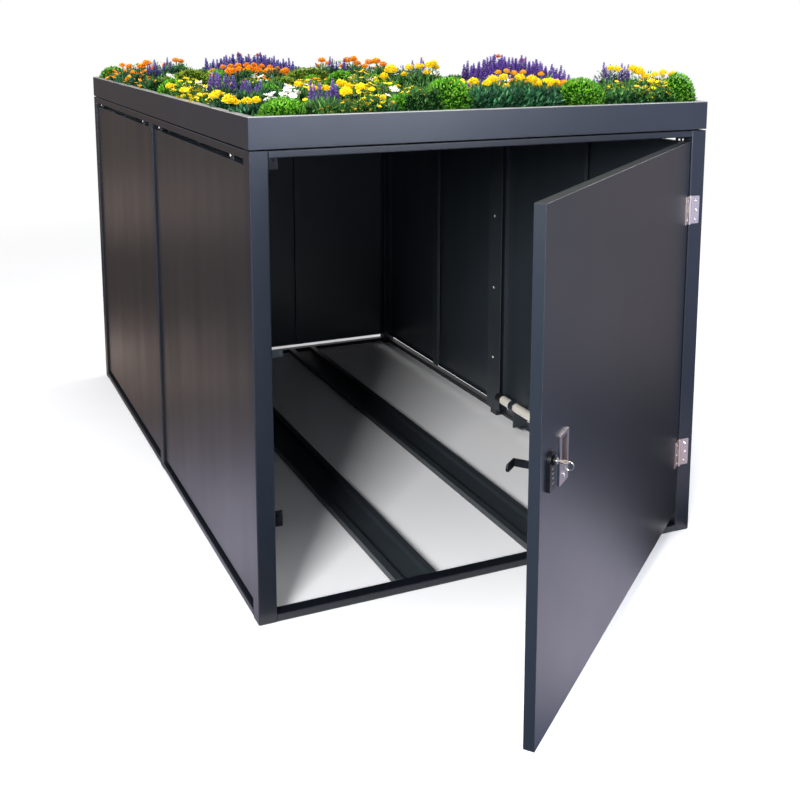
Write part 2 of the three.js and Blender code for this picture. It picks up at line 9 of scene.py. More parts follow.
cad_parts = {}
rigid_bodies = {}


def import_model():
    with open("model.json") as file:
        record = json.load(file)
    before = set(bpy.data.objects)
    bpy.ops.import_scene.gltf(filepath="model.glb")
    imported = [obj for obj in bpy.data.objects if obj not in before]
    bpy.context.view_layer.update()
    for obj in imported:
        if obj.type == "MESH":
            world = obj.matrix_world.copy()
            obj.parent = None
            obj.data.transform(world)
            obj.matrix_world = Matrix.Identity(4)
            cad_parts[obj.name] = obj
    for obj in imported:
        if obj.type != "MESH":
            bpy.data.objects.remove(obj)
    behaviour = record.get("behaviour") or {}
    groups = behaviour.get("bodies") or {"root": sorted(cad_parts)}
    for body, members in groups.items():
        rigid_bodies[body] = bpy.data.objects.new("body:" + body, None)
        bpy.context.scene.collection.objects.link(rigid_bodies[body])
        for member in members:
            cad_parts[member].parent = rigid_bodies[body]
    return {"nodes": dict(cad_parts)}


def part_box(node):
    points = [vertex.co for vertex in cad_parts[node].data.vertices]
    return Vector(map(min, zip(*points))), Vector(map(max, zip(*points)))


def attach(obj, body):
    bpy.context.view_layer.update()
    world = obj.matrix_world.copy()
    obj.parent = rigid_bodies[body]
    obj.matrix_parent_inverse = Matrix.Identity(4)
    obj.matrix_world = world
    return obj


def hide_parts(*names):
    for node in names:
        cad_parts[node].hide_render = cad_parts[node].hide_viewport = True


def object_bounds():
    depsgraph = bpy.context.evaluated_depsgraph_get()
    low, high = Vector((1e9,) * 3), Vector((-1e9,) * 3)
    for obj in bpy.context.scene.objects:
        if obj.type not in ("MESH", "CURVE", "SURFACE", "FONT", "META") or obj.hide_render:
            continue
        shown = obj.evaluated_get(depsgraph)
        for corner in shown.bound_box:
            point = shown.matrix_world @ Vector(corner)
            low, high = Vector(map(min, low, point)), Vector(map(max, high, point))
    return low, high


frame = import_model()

CAD_BOX = [list(map(float, v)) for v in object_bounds()]
NODES = frame["nodes"]
SCENE = bpy.context.scene
RNG = np.random.default_rng(4711)

# ------------------------------------------------------------------ camera, at the photograph's viewing angle
CAM_AT = (-1.4471, -2.5930, 1.5374)
YAW, PITCH, ROLL = math.radians(24.263), math.radians(9.482), math.radians(0.023)
F_PX, PP_Y = 1106.2, 210.0


def camera_axes():
    sy, cy, sp, cp = math.sin(YAW), math.cos(YAW), math.sin(PITCH), math.cos(PITCH)
    f = Vector((sy * cp, cy * cp, -sp))
    r = Vector((cy, -sy, 0.0))
    u = r.cross(f)
    c, s = math.cos(ROLL), math.sin(ROLL)
    return c * r + s * u, -s * r + c * u, f


def make_camera():
    r, u, f = camera_axes()
    data = bpy.data.cameras.new("camera")
    data.sensor_fit = "HORIZONTAL"
    data.sensor_width = 36.0
    data.lens = F_PX / 800.0 * 36.0
    data.shift_y = (PP_Y - 400.0) / 800.0
    data.clip_end = 200.0
    cam = bpy.data.objects.new("camera", data)
    m = Matrix((r, u, -f)).transposed().to_4x4()
    m.translation = Vector(CAM_AT)
    cam.matrix_world = m
    SCENE.collection.objects.link(cam)
    SCENE.camera = cam


make_camera()
SCENE.view_settings.view_transform = "Standard"
SCENE.view_settings.look = "None"


# ------------------------------------------------------------------ material helpers
class Nodes:
    def __init__(self, name):
        self.mat = bpy.data.materials.new(name)
        self.mat.use_nodes = True
        self.tree = self.mat.node_tree
        self.tree.nodes.clear()
        self.out = self.tree.nodes.new("ShaderNodeOutputMaterial")
        self.bsdf = self.tree.nodes.new("ShaderNodeBsdfPrincipled")
        self.tree.links.new(self.bsdf.outputs["BSDF"], self.out.inputs["Surface"])
        self.coord = self.tree.nodes.new("ShaderNodeTexCoord").outputs["Object"]

    def new(self, kind, **settings):
        n = self.tree.nodes.new(kind)
        for k, v in settings.items():
            setattr(n, k, v)
        return n

    def link(self, a, b):
        self.tree.links.new(a, b)

    def set(self, **values):
        for k, v in values.items():
            self.bsdf.inputs[k.replace("_", " ")].default_value = v

    def noise(self, scale, detail=3.0, rough=0.55, stretch=None, distortion=0.0):
        n = self.new("ShaderNodeTexNoise")
        n.inputs["Scale"].default_value = scale
        n.inputs["Detail"].default_value = detail
        n.inputs["Roughness"].default_value = rough
        n.inputs["Distortion"].default_value = distortion
        if stretch:
            m = self.new("ShaderNodeMapping")
            m.inputs["Scale"].default_value = stretch
            self.link(self.coord, m.inputs["Vector"])
            self.link(m.outputs["Vector"], n.inputs["Vector"])
        else:
            self.link(self.coord, n.inputs["Vector"])
        return n.outputs["Fac"]

    def ramp(self, fac, stops):
        n = self.new("ShaderNodeValToRGB")
        e = n.color_ramp.elements
        while len(e) < len(stops):
            e.new(0.5)
        for el, (p, c) in zip(e, stops):
            el.position = p
            el.color = (*c, 1.0) if len(c) == 3 else c
        self.link(fac, n.inputs["Fac"])
        return n.outputs["Color"]

    def span(self, fac, lo, hi, a=0.0, b=1.0):
        n = self.new("ShaderNodeMapRange")
        n.clamp = True
        for k, v in (("From Min", a), ("From Max", b), ("To Min", lo), ("To Max", hi)):
            n.inputs[k].default_value = v
        self.link(fac, n.inputs["Value"])
        return n.outputs["Result"]

    def mix(self, fac, a, b, mode="MIX"):
        n = self.new("ShaderNodeMix", data_type="RGBA", blend_type=mode)
        for sock, v in ((n.inputs[0], fac), (n.inputs[6], a), (n.inputs[7], b)):
            if isinstance(v, (int, float)):
                sock.default_value = v
            elif isinstance(v, tuple):
                sock.default_value = (*v, 1.0)
            else:
                self.link(v, sock)
        return n.outputs[2]

    def math(self, op, a, b=None):
        n = self.new("ShaderNodeMath", operation=op)
        for sock, v in ((n.inputs[0], a), (n.inputs[1], b)):
            if v is None:
                continue
            if isinstance(v, (int, float)):
                sock.default_value = v
            else:
                self.link(v, sock)
        return n.outputs[0]

    def bump(self, height, distance, strength=1.0, normal=None):
        n = self.new("ShaderNodeBump")
        n.inputs["Distance"].default_value = distance
        n.inputs["Strength"].default_value = strength
        self.link(height, n.inputs["Height"])
        if normal is not None:
            self.link(normal, n.inputs["Normal"])
        return n.outputs["Normal"]

    def bevel(self, radius, samples=4):
        n = self.new("ShaderNodeBevel", samples=samples)
        n.inputs["Radius"].default_value = radius
        return n.outputs["Normal"]

    def edge_mask(self, bevelled, sharp=6.0):
        g = self.new("ShaderNodeNewGeometry").outputs["Normal"]
        d = self.new("ShaderNodeVectorMath", operation="DOT_PRODUCT")
        self.link(bevelled, d.inputs[0])
        self.link(g, d.inputs[1])
        return self.span(d.outputs["Value"], 1.0, 0.0, 0.86, 0.995)


def powder_coat(name, dark, light, rough=0.36, wave=0.0035, wave_scale=1.7, edge=(0.075, 0.085, 0.105), lip=None, inner=None, tall=0.45):
    """Satin powder coat on thin sheet: faint cloudiness, orange peel, soft waves in the sheet, edges made paler, partly
    as rubbing wear and partly as a painted highlight, and above the height lip a pale rim that is a painted highlight.
    """
    k = Nodes(name)
    cloud = k.noise(2.3, 4.0, 0.6)
    fine = k.noise(420.0, 2.0, 0.5)
    smear = k.noise(1.6, 4.0, 0.6)
    base = k.ramp(cloud, [(0.3, dark), (0.72, light)])
    bev = k.bevel(0.0016)
    edges = k.edge_mask(bev)
    # paler edges along the bevels: partly rubbing wear, partly a painted highlight
    wear_and_highlight = k.math("MULTIPLY", edges, k.span(k.noise(38.0, 4.0, 0.7), 0.15, 0.6, 0.42, 0.66))
    col = k.mix(wear_and_highlight, base, edge)
    if lip:
        z = k.new("ShaderNodeSeparateXYZ")
        k.link(k.coord, z.inputs[0])
        rim = k.span(z.outputs["Z"], 0.0, 0.85, lip - 0.0012, lip)
        # painted highlight: the rim above the lip is made pale, as a painted reflection of the bright surroundings
        col = k.mix(k.math("MULTIPLY", rim, k.span(k.noise(9.0, 3.0), 0.6, 1.0, 0.3, 0.7)), col, (0.42, 0.41, 0.40))
    # inner faces of the sheet get a paler tint than its outer faces: painted fill light for the dim inside
    if inner:
        axis, limit, tint = inner
        z = k.new("ShaderNodeSeparateXYZ")
        k.link(k.coord, z.inputs[0])
        col = k.mix(k.span(k.math("ABSOLUTE", z.outputs[axis]), 1.0, 0.0, limit - 0.0003, limit + 0.0003), col, tint)
    k.link(col, k.bsdf.inputs["Base Color"])
    r = k.math("ADD", k.span(smear, rough - 0.03, rough + 0.04, 0.3, 0.7), k.span(fine, -0.012, 0.012))
    k.link(r, k.bsdf.inputs["Roughness"])
    n = k.bump(fine, 0.00012, 0.8, bev)
    if wave:
        n = k.bump(k.noise(wave_scale, 2.0, 0.4, stretch=(1.0, 1.0, tall)), wave, 1.0, n)
    k.link(n, k.bsdf.inputs["Normal"])
    k.set(Metallic=0.0, IOR=1.5)
    k.bsdf.inputs["Specular IOR Level"].default_value = 0.5
    return k.mat


def brushed(name, tint, rough=0.28, stretch=(60.0, 60.0, 2.5), scale=14.0, metal=1.0):
    k = Nodes(name)
    grain = k.noise(scale, 4.0, 0.7, stretch=stretch)
    stain = k.noise(22.0, 3.0, 0.6)
    a = tuple(c * 0.86 for c in tint)
    base = k.mix(k.span(grain, 0.0, 1.0, 0.3, 0.7), a, tint)
    base = k.mix(k.span(stain, 0.0, 0.3, 0.5, 0.8), base, tuple(c * 0.7 for c in tint))
    k.link(base, k.bsdf.inputs["Base Color"])
    k.link(k.span(grain, rough - 0.06, rough + 0.1, 0.3, 0.7), k.bsdf.inputs["Roughness"])
    k.link(k.bump(grain, 0.00005, 0.6, k.bevel(0.0006)), k.bsdf.inputs["Normal"])
    k.set(Metallic=metal)
    return k.mat


def moulded(name, dark, light, rough=0.42, bevel=0.0007):
    k = Nodes(name)
    k.link(k.ramp(k.noise(30.0, 3.0), [(0.3, dark), (0.7, light)]), k.bsdf.inputs["Base Color"])
    k.link(k.span(k.noise(90.0, 3.0), rough - 0.06, rough + 0.08, 0.3, 0.7), k.bsdf.inputs["Roughness"])
    k.link(k.bump(k.noise(900.0, 2.0), 0.00004, 0.7, k.bevel(bevel)), k.bsdf.inputs["Normal"])
    return k.mat


def tinted(name, rough=0.55, spec=0.35, subsurface=0.0, vary=0.25, bump_scale=500.0):
    """Foliage and petals: the colour is kept on the mesh, leaf by leaf, and varied here."""
    k = Nodes(name)
    col = k.new("ShaderNodeAttribute", attribute_name="tint").outputs["Color"]
    n = k.noise(140.0, 3.0, 0.6)
    dark = k.mix(1.0, col, (0.55, 0.55, 0.55), "MULTIPLY")
    k.link(k.mix(k.span(n, vary, 0.0, 0.35, 0.6), col, dark), k.bsdf.inputs["Base Color"])
    k.link(k.span(n, rough - 0.1, rough + 0.12, 0.3, 0.7), k.bsdf.inputs["Roughness"])
    k.link(k.bump(k.noise(bump_scale, 2.0), 0.0002, 0.6), k.bsdf.inputs["Normal"])
    k.bsdf.inputs["Specular IOR Level"].default_value = spec
    return k.mat


def soil_material():
    k = Nodes("soil_material")
    n = k.noise(55.0, 6.0, 0.7)
    k.link(k.ramp(n, [(0.3, (0.012, 0.008, 0.005)), (0.5, (0.045, 0.03, 0.02)), (0.72, (0.11, 0.08, 0.055))]), k.bsdf.inputs["Base Color"])
    k.link(k.span(n, 0.8, 0.98), k.bsdf.inputs["Roughness"])
    k.link(k.bump(k.noise(160.0, 5.0, 0.75), 0.004), k.bsdf.inputs["Normal"])
    return k.mat


# ------------------------------------------------------------------ materials of the metal and plastic pieces
# One anthracite paint in several copies: the outer coats are set very dark for the strong key lights, while inner faces
# and the remaining parts (coat_inner) get paler colours: painted light and shade.
COAT = powder_coat("coat_anthracite", (0.0048, 0.0062, 0.0092), (0.0064, 0.0082, 0.0118), rough=0.33, wave=0.0025)
COAT_TRAY = powder_coat("coat_anthracite_tray", (0.0065, 0.0085, 0.0130), (0.0085, 0.0110, 0.0165), rough=0.33, wave=0.0020, lip=1.3188)
COAT_SIDE = powder_coat("coat_anthracite_sheet", (0.0060, 0.0068, 0.0090), (0.0080, 0.0090, 0.0118), rough=0.30, wave=0.018, wave_scale=2.6, tall=0.16, inner=("X", 0.681, (0.020, 0.026, 0.032)))
COAT_REAR = powder_coat("coat_anthracite_rear", (0.0060, 0.0068, 0.0090), (0.0080, 0.0090, 0.0118), rough=0.33, wave=0.010, wave_scale=2.4, inner=("Y", 2.266, (0.034, 0.042, 0.050)))
COAT_FRAME = powder_coat("coat_anthracite_frame", (0.0036, 0.0050, 0.0080), (0.0050, 0.0068, 0.0104), rough=0.33, wave=0.0)
COAT_INNER = powder_coat("coat_inner", (0.018, 0.023, 0.028), (0.026, 0.032, 0.038), rough=0.42, wave=0.002)
STAINLESS = brushed("stainless_brushed", (0.56, 0.49, 0.47), rough=0.30)
HINGE = brushed("stainless_hinge", (0.56, 0.46, 0.42), rough=0.36)
KEY = brushed("key_steel", (0.50, 0.44, 0.38), rough=0.30)
BRIGHT_STEEL = brushed("stainless_polished", (0.90, 0.87, 0.84), rough=0.20, scale=6.0)
BARREL = brushed("stainless_barrel", (0.50, 0.47, 0.44), rough=0.26, scale=6.0)
ZINC = brushed("zinc_bar", (0.88, 0.83, 0.74), rough=0.34, stretch=(60.0, 2.5, 60.0), metal=0.25)
BLACK = moulded("black_enamel", (0.002, 0.002, 0.0025), (0.004, 0.004, 0.005), rough=0.3)
BLACK.node_tree.nodes["Principled BSDF"].inputs["Specular IOR Level"].default_value = 0.25
CAP = moulded("black_cap", (0.004, 0.004, 0.0045), (0.009, 0.009, 0.010), rough=0.5)
DIAL = moulded("dial_plastic", (0.006, 0.006, 0.0065), (0.012, 0.012, 0.013), rough=0.36, bevel=0.0004)

for name, obj in NODES.items():
    if name.startswith(("post_", "front_", "rear_top", "rear_bottom", "top_rail", "bottom_rail")):
        m = COAT_FRAME
    elif name.startswith("side_panel"):
        m = COAT_SIDE
    elif name == "rear_panel":
        m = COAT_REAR
    elif name == "planter_tray":
        m = COAT_TRAY
    elif name == "door_panel":
        m = COAT
    elif name.startswith("hinge_"):
        m = HINGE
    elif name in ("key", "key_ring"):
        m = KEY
    elif name == "pull_plate":
        m = STAINLESS
    elif name == "securing_bar":
        m = ZINC
    elif name == "securing_bar_cap":
        m = CAP
    elif name.startswith("dial_"):
        m = DIAL
    elif name.startswith(("lock_housing", "lock_knob", "lock_cam", "top_corner", "door_buffer")):
        m = BLACK
    else:
        m = COAT_INNER
    obj.data.materials.clear()
    obj.data.materials.append(m)


# ------------------------------------------------------------------ screws, bolts, lock barrel and dial numbers
DOOR_OPEN = math.radians(39.3)
HINGE_AT = (0.6385, -0.030)
LOCK_X, PULL_X, PLATE_Y, DIAL_Y = -582.5, -497.5, -33.0, -26.2


def swung(x, y, z):
    """A place on the closed door, in millimetres, as it lies with the door open."""
    dx, dy, c, s_ = x / 1000 - HINGE_AT[0], y / 1000 - HINGE_AT[1], math.cos(DOOR_OPEN), math.sin(DOOR_OPEN)
    return Vector((HINGE_AT[0] + c * dx - s_ * dy, HINGE_AT[1] + s_ * dx + c * dy, z / 1000))


OUTWARD = Vector((math.sin(DOOR_OPEN), -math.cos(DOOR_OPEN), 0.0))


class Turned:
    """Collects closed turned forms into one mesh."""

    def __init__(self, name, material, body, slot):
        self.name, self.material, self.body, self.slot = name, material, body, slot
        self.v, self.f = [], []

    def lathe(self, centre, axis, profile, n=24, corners=None):
        """profile: (radius, height) from the rim of the back to the front. corners: how many rings at the end are six-sided."""
        axis = Vector(axis).normalized()
        a = axis.orthogonal().normalized()
        b = axis.cross(a)
        o, c = len(self.v), Vector(centre)
        self.v.append(tuple(c + axis * profile[0][1]))
        for k, (r, h) in enumerate(profile):
            for i in range(n):
                t = 2 * math.pi * i / n
                q = r
                if corners and k >= len(profile) - corners:
                    q = r / math.cos((t + math.pi / 6) % (math.pi / 3) - math.pi / 6) * 0.9
                self.v.append(tuple(c + axis * h + (a * math.cos(t) + b * math.sin(t)) * q))
        self.v.append(tuple(c + axis * profile[-1][1]))
        last = len(self.v) - 1
        for i in range(n):
            j = (i + 1) % n
            self.f.append((o, o + 1 + j, o + 1 + i))
            for k in range(len(profile) - 1):
                p, q = o + 1 + k * n, o + 1 + (k + 1) * n
                self.f.append((p + i, p + j, q + j, q + i))
            p = o + 1 + (len(profile) - 1) * n
            self.f.append((p + i, p + j, last))

    def screw(self, centre, axis, r, h):
        self.lathe(centre, axis, [(r, -0.0003), (r, 0.22 * h), (0.93 * r, 0.52 * h), (0.74 * r, 0.86 * h), (0.52 * r, h), (0.44 * r, 0.98 * h), (0.36 * r, 0.55 * h), (0.30 * r, 0.45 * h)], 24, 2)

    def bolt(self, centre, axis, r, h):
        self.lathe(centre, axis, [(r, -0.0003), (r, 0.25 * h), (0.9 * r, 0.6 * h), (0.6 * r, 0.92 * h), (0.25 * r, h)], 20)

    def finish(self, *nodes, smooth=True):
        me = bpy.data.meshes.new(self.name)
        me.from_pydata(self.v, [], self.f)
        me.update()
        me.polygons.foreach_set("use_smooth", [smooth] * len(me.polygons))
        me.materials.append(self.material)
        o = bpy.data.objects.new(self.name, me)
        SCENE.collection.objects.link(o)
        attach(o, self.body)
        if nodes:
            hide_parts(*nodes)
        return o


def fixings():
    post = Turned("hinge_screws_post", BRIGHT_STEEL, "locker", "stainless")
    leaf = Turned("hinge_screws_door", BRIGHT_STEEL, "door", "stainless")
    for low in (963.0, 216.0):
        for i, (a, b) in enumerate(((15.5, 15.5), (19.0, 19.0), (15.5, 15.5))):
            z = low + 13 + 28 * i
            post.screw((0.6438 + a / 1000, -0.0283, z / 1000), (0, -1, 0), 0.0044, 0.0020)
            leaf.screw(swung(633.2 - b, -28.3, z), OUTWARD, 0.0044, 0.0020)
    post.finish()
    leaf.finish()
    pull = Turned("pull_rivet", BRIGHT_STEEL, "door", "stainless")
    pull.bolt(swung(PULL_X - 3, -30.2, 619), OUTWARD, 0.0053, 0.0016)
    pull.finish()
    panel = Turned("panel_bolts", ZINC, "locker", "bar")
    for s_ in (-1, 1):
        for y0, y1 in ((0.0253, 1.0997), (1.1503, 2.2247)):
            for y in (y0 + 0.165, y1 - 0.048):
                panel.bolt((s_ * 0.6749, y, 1.205), (s_, 0, 0), 0.0042, 0.0016)
        panel.bolt((s_ * 0.590, 2.2599, 1.205), (0, 1, 0), 0.0042, 0.0016)
        for x in (0.629, 0.616) if s_ > 0 else ():
            panel.bolt((s_ * x, 0.0026, 1.209), (0, -1, 0), 0.0034, 0.0012)
        for z in (0.236, 0.520, 0.805, 1.090):
            panel.bolt((s_ * 0.6333, 1.125, z), (-s_, 0, 0), 0.0052, 0.0014)
    panel.finish()


def lock_barrel():
    """A black collar with a rounded front, and the bright barrel with its keyway standing out of it."""
    face = swung(LOCK_X, PLATE_Y - 0.3, 680)
    collar = Turned("lock_collar", BLACK, "lock", "black_metal")
    collar.lathe(face, OUTWARD, [(0.0060, -0.0480), (0.0060, 0.0), (0.0105, 0.0), (0.0105, 0.0040), (0.0101, 0.0052), (0.0092, 0.0058), (0.0070, 0.0059), (0.0068, 0.0050)], 36)
    collar.finish("lock_knob")
    barrel = Turned("lock_barrel", BARREL, "lock", "stainless")
    barrel.lathe(face, OUTWARD, [(0.0058, 0.0030), (0.0066, 0.0035), (0.0066, 0.0084), (0.0062, 0.0092), (0.0054, 0.0095), (0.0020, 0.0094)], 36)
    o = barrel.finish("lock_knob")
    # the keyway
    me = bpy.data.meshes.new("keyway_cutter")
    side = Vector((-OUTWARD.y, OUTWARD.x, 0.0))
    pts = [face + OUTWARD * a + side * b + Vector((0, 0, c)) for a in (0.0045, 0.0120) for b in (-0.0043, 0.0043) for c in (-0.0012, 0.0012)]
    me.from_pydata([tuple(q) for q in pts], [], [(0, 1, 3, 2), (4, 6, 7, 5), (0, 4, 5, 1), (2, 3, 7, 6), (0, 2, 6, 4), (1, 5, 7, 3)])
    cutter = bpy.data.objects.new("keyway_cutter", me)
    SCENE.collection.objects.link(cutter)
    m = o.modifiers.new("keyway", "BOOLEAN")
    m.operation, m.object, m.solver = "DIFFERENCE", cutter, "EXACT"
    bpy.context.view_layer.update()
    cut = bpy.data.meshes.new_from_object(o.evaluated_get(bpy.context.evaluated_depsgraph_get()))
    o.modifiers.clear()
    if len(cut.polygons) > 40:
        cut.polygons.foreach_set("use_smooth", [False] * len(cut.polygons))
        o.data = cut
    bpy.data.objects.remove(cutter)


def dial_numbers():
    paint = moulded("dial_paint", (0.10, 0.10, 0.095), (0.14, 0.14, 0.135), rough=0.5, bevel=0.0001)
    for n, z in enumerate((632.1, 642.4, 652.7, 663.0)):
        hub = swung(LOCK_X, DIAL_Y, z)
        v, f = [], []
        for k in range(10):
            c = bpy.data.curves.new("digit", "FONT")
            c.body, c.size, c.extrude, c.align_x, c.align_y, c.resolution_u = str(k), 0.0068, 0.0001, "CENTER", "CENTER", 3
            t = bpy.data.objects.new("digit", c)
            SCENE.collection.objects.link(t)
            bpy.context.view_layer.update()
            me = bpy.data.meshes.new_from_object(t.evaluated_get(bpy.context.evaluated_depsgraph_get()))
            bm = bmesh.new()
            bm.from_mesh(me)
            bmesh.ops.remove_doubles(bm, verts=bm.verts, dist=1e-6)
            bm.to_mesh(me)
            bm.free()
            a = math.atan2(OUTWARD.y, OUTWARD.x) + math.radians(36 * (k - 3 - 2 * n))
            out = Vector((math.cos(a), math.sin(a), 0.0))
            tan = Vector((-math.sin(a), math.cos(a), 0.0))
            o = len(v)
            for q in me.vertices:
                w = q.co
                ang = w.x / 0.0082
                v.append(tuple(hub + out * (0.00824 * math.cos(ang) + w.z) + tan * 0.00824 * math.sin(ang) + Vector((0, 0, w.y))))
            f += [tuple(o + i for i in p.vertices) for p in me.polygons]
            bpy.data.objects.remove(t)
            bpy.data.meshes.remove(me)
        me = bpy.data.meshes.new(f"dial_{n + 1}_numbers")
        me.from_pydata(v, [], f)
        me.materials.append(paint)
        piece = bpy.data.objects.new(f"dial_{n + 1}_numbers", me)
        SCENE.collection.objects.link(piece)
        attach(piece, f"dial_{n + 1}")


fixings()
lock_barrel()
dial_numbers()


# ------------------------------------------------------------------ planting
class Heap:
    """Collects many small closed bodies, then becomes one mesh with a colour on every corner point."""

    def __init__(self):
        self.v, self.f, self.c, self.n = [], [], [], 0

    def add(self, v, f, c):
        v = np.asarray(v, float).reshape(-1, 3)
        c = np.asarray(c, float)
        if c.ndim == 1:
            c = np.tile(c, (len(v), 1))
        self.v.append(v)
        self.f.append(np.asarray(f, int).reshape(-1, 3) + self.n)
        self.c.append(c)
        self.n += len(v)

    def mesh(self, name, material, smooth=False):
        v, f, c = np.concatenate(self.v), np.concatenate(self.f), np.concatenate(self.c)
        v = np.clip(v, [CAD_BOX[0][0] + 0.0005, -0.0245, 1.2], [0.6895, CAD_BOX[1][1] - 0.0005, CAD_BOX[1][2] - 0.0002]) if name.startswith("bed_") else v
        me = bpy.data.meshes.new(name)
        me.vertices.add(len(v))
        me.vertices.foreach_set("co", v.astype(np.float32).ravel())
        me.loops.add(3 * len(f))
        me.loops.foreach_set("vertex_index", f.astype(np.int32).ravel())
        me.polygons.add(len(f))
        me.polygons.foreach_set("loop_start", np.arange(0, 3 * len(f), 3, dtype=np.int32))
        me.polygons.foreach_set("use_smooth", np.full(len(f), smooth))
        me.update(calc_edges=True)
        at = me.color_attributes.new("tint", "FLOAT_COLOR", "POINT")
        at.data.foreach_set("color", np.hstack([np.clip(c, 0, 1), np.ones((len(c), 1))]).astype(np.float32).ravel())
        me.materials.append(material)
        obj = bpy.data.objects.new(name, me)
        SCENE.collection.objects.link(obj)
        return obj


def unit(a):
    return a / np.maximum(np.linalg.norm(a, axis=-1, keepdims=True), 1e-9)


LEAF_F = np.array([[0, 3, 1], [0, 1, 2], [0, 2, 3], [1, 3, 2]])


def leaves(heap, p, d, up, length, width, col, tip=None, fold=0.22, belly=0.45):
    """Folded leaves or petals: base, tip, and two edges set lower than the midrib."""
    p, d = np.asarray(p, float), unit(np.asarray(d, float))
    n = len(p)
    length = np.broadcast_to(length, (n,))[:, None]
    width = np.broadcast_to(width, (n,))[:, None]
    s = unit(np.cross(d, up))
    u = unit(np.cross(s, d))
    a = p
    b = p + d * length
    left = p + d * length * belly - s * width / 2 - u * width * fold
    right = p + d * length * belly + s * width / 2 - u * width * fold
    v = np.stack([a, b, left, right], 1).reshape(-1, 3)
    f = (LEAF_F[None] + 4 * np.arange(n)[:, None, None]).reshape(-1, 3)
    col = np.broadcast_to(col, (n, 3))
    tip = col if tip is None else np.broadcast_to(tip, (n, 3))
    c = np.stack([col, tip, 0.5 * (col + tip), 0.5 * (col + tip)], 1).reshape(-1, 3)
    heap.add(v, f, c)


def stems(heap, a, b, r, col):
    """Three-sided stems, closed at both ends."""
    a, b = np.asarray(a, float), np.asarray(b, float)
    n = len(a)
    d = unit(b - a)
    s = unit(np.cross(d, np.array([0.31, 0.77, 0.55])))
    t = np.cross(d, s)
    r = np.broadcast_to(r, (n,))[:, None]
    ring = [s * math.cos(k) + t * math.sin(k) for k in (0.0, 2.0944, 4.18879)]
    v = np.stack([a + r * q for q in ring] + [b + r * 0.7 * q for q in ring], 1).reshape(-1, 3)
    f0 = np.array([[0, 2, 1], [3, 4, 5], [0, 1, 4], [0, 4, 3], [1, 2, 5], [1, 5, 4], [2, 0, 3], [2, 3, 5]])
    f = (f0[None] + 6 * np.arange(n)[:, None, None]).reshape(-1, 3)
    heap.add(v, f, col)


def lump(heap, c, r, col, seg=10, rings=6, rough=0.12, low=-0.35):
    """A closed uneven dome that shows between the leaves or petals. The dark ones inside bushes, tufts and mounds are
    painted shade in the gaps.
    """
    th = np.linspace(math.pi * 0.5, math.asin(low), rings + 1)[1:]
    ph = np.arange(seg) * 2 * math.pi / seg
    v = [np.array([[0, 0, 1.0]])]
    for t in th:
        v.append(np.stack([np.cos(ph) * math.cos(t), np.sin(ph) * math.cos(t), np.full(seg, math.sin(t))], 1))
    v.append(np.array([[0, 0, low - 0.05]]))
    v = np.concatenate(v)
    v = v * (1 + rough * (RNG.random((len(v), 1)) - 0.5)) * np.asarray(r) + np.asarray(c)
    f = [[0, 1 + i, 1 + (i + 1) % seg] for i in range(seg)]
    for k in range(rings - 1):
        a, b = 1 + k * seg, 1 + (k + 1) * seg
        for i in range(seg):
            j = (i + 1) % seg
            f += [[a + i, b + i, b + j], [a + i, b + j, a + j]]
    a, last = 1 + (rings - 1) * seg, len(v) - 1
    f += [[a + i, last, a + (i + 1) % seg] for i in range(seg)]
    heap.add(v, f, np.tile(np.asarray(col, float), (len(v), 1)))


def dome_points(n, c, r, low=-0.15):
    """Evenly scattered points on the upper part of an ellipsoid, and outward directions there."""
    i = np.arange(n) + 0.5
    z = 1 - (1 - low) * i / n
    a = i * 2.399963 + RNG.random() * 6.28
    q = np.sqrt(np.maximum(0, 1 - z * z))
    k = np.stack([q * np.cos(a), q * np.sin(a), z], 1)
    k = unit(k + RNG.normal(0, 0.07, k.shape))
    r = np.asarray(r, float)
    return np.asarray(c, float) + k * r, unit(k / r * r.min())


def shade(palette, n, spread=0.12):
    """n colours between the palette's colours, each a little lighter or darker."""
    pal = np.asarray(palette, float)
    t = RNG.random(n) * (len(pal) - 1)
    i = np.minimum(t.astype(int), len(pal) - 2)
    w = (t - i)[:, None]
    return (pal[i] * (1 - w) + pal[i + 1] * w) * (1 + spread * RNG.normal(0, 1, (n, 1))).clip(0.55, 1.5)


BRIGHT = [(0.012, 0.07, 0.002), (0.035, 0.16, 0.004), (0.085, 0.28, 0.010), (0.18, 0.42, 0.025)]
OLIVE = [(0.045, 0.085, 0.004), (0.12, 0.19, 0.010), (0.25, 0.34, 0.025)]
TEAL = [(0.003, 0.018, 0.008), (0.007, 0.046, 0.018), (0.018, 0.095, 0.035), (0.06, 0.19, 0.075)]
MIXED = [(0.010, 0.050, 0.008), (0.030, 0.120, 0.016), (0.095, 0.22, 0.045)]
YELLOW = [(0.82, 0.55, 0.001), (0.94, 0.72, 0.003), (0.96, 0.82, 0.012)]
ORANGE = [(0.68, 0.17, 0.0), (0.88, 0.30, 0.002), (0.94, 0.44, 0.008)]
VIOLET = [(0.030, 0.010, 0.11), (0.068, 0.026, 0.22), (0.135, 0.060, 0.34), (0.22, 0.13, 0.44)]
INDIGO = [(0.026, 0.017, 0.13), (0.060, 0.042, 0.24), (0.12, 0.095, 0.35)]
RED = [(0.60, 0.07, 0.015), (0.80, 0.20, 0.03)]
WHITE = [(0.84, 0.84, 0.82), (0.95, 0.95, 0.94)]

SOIL = 1.300
TOP = 1.434


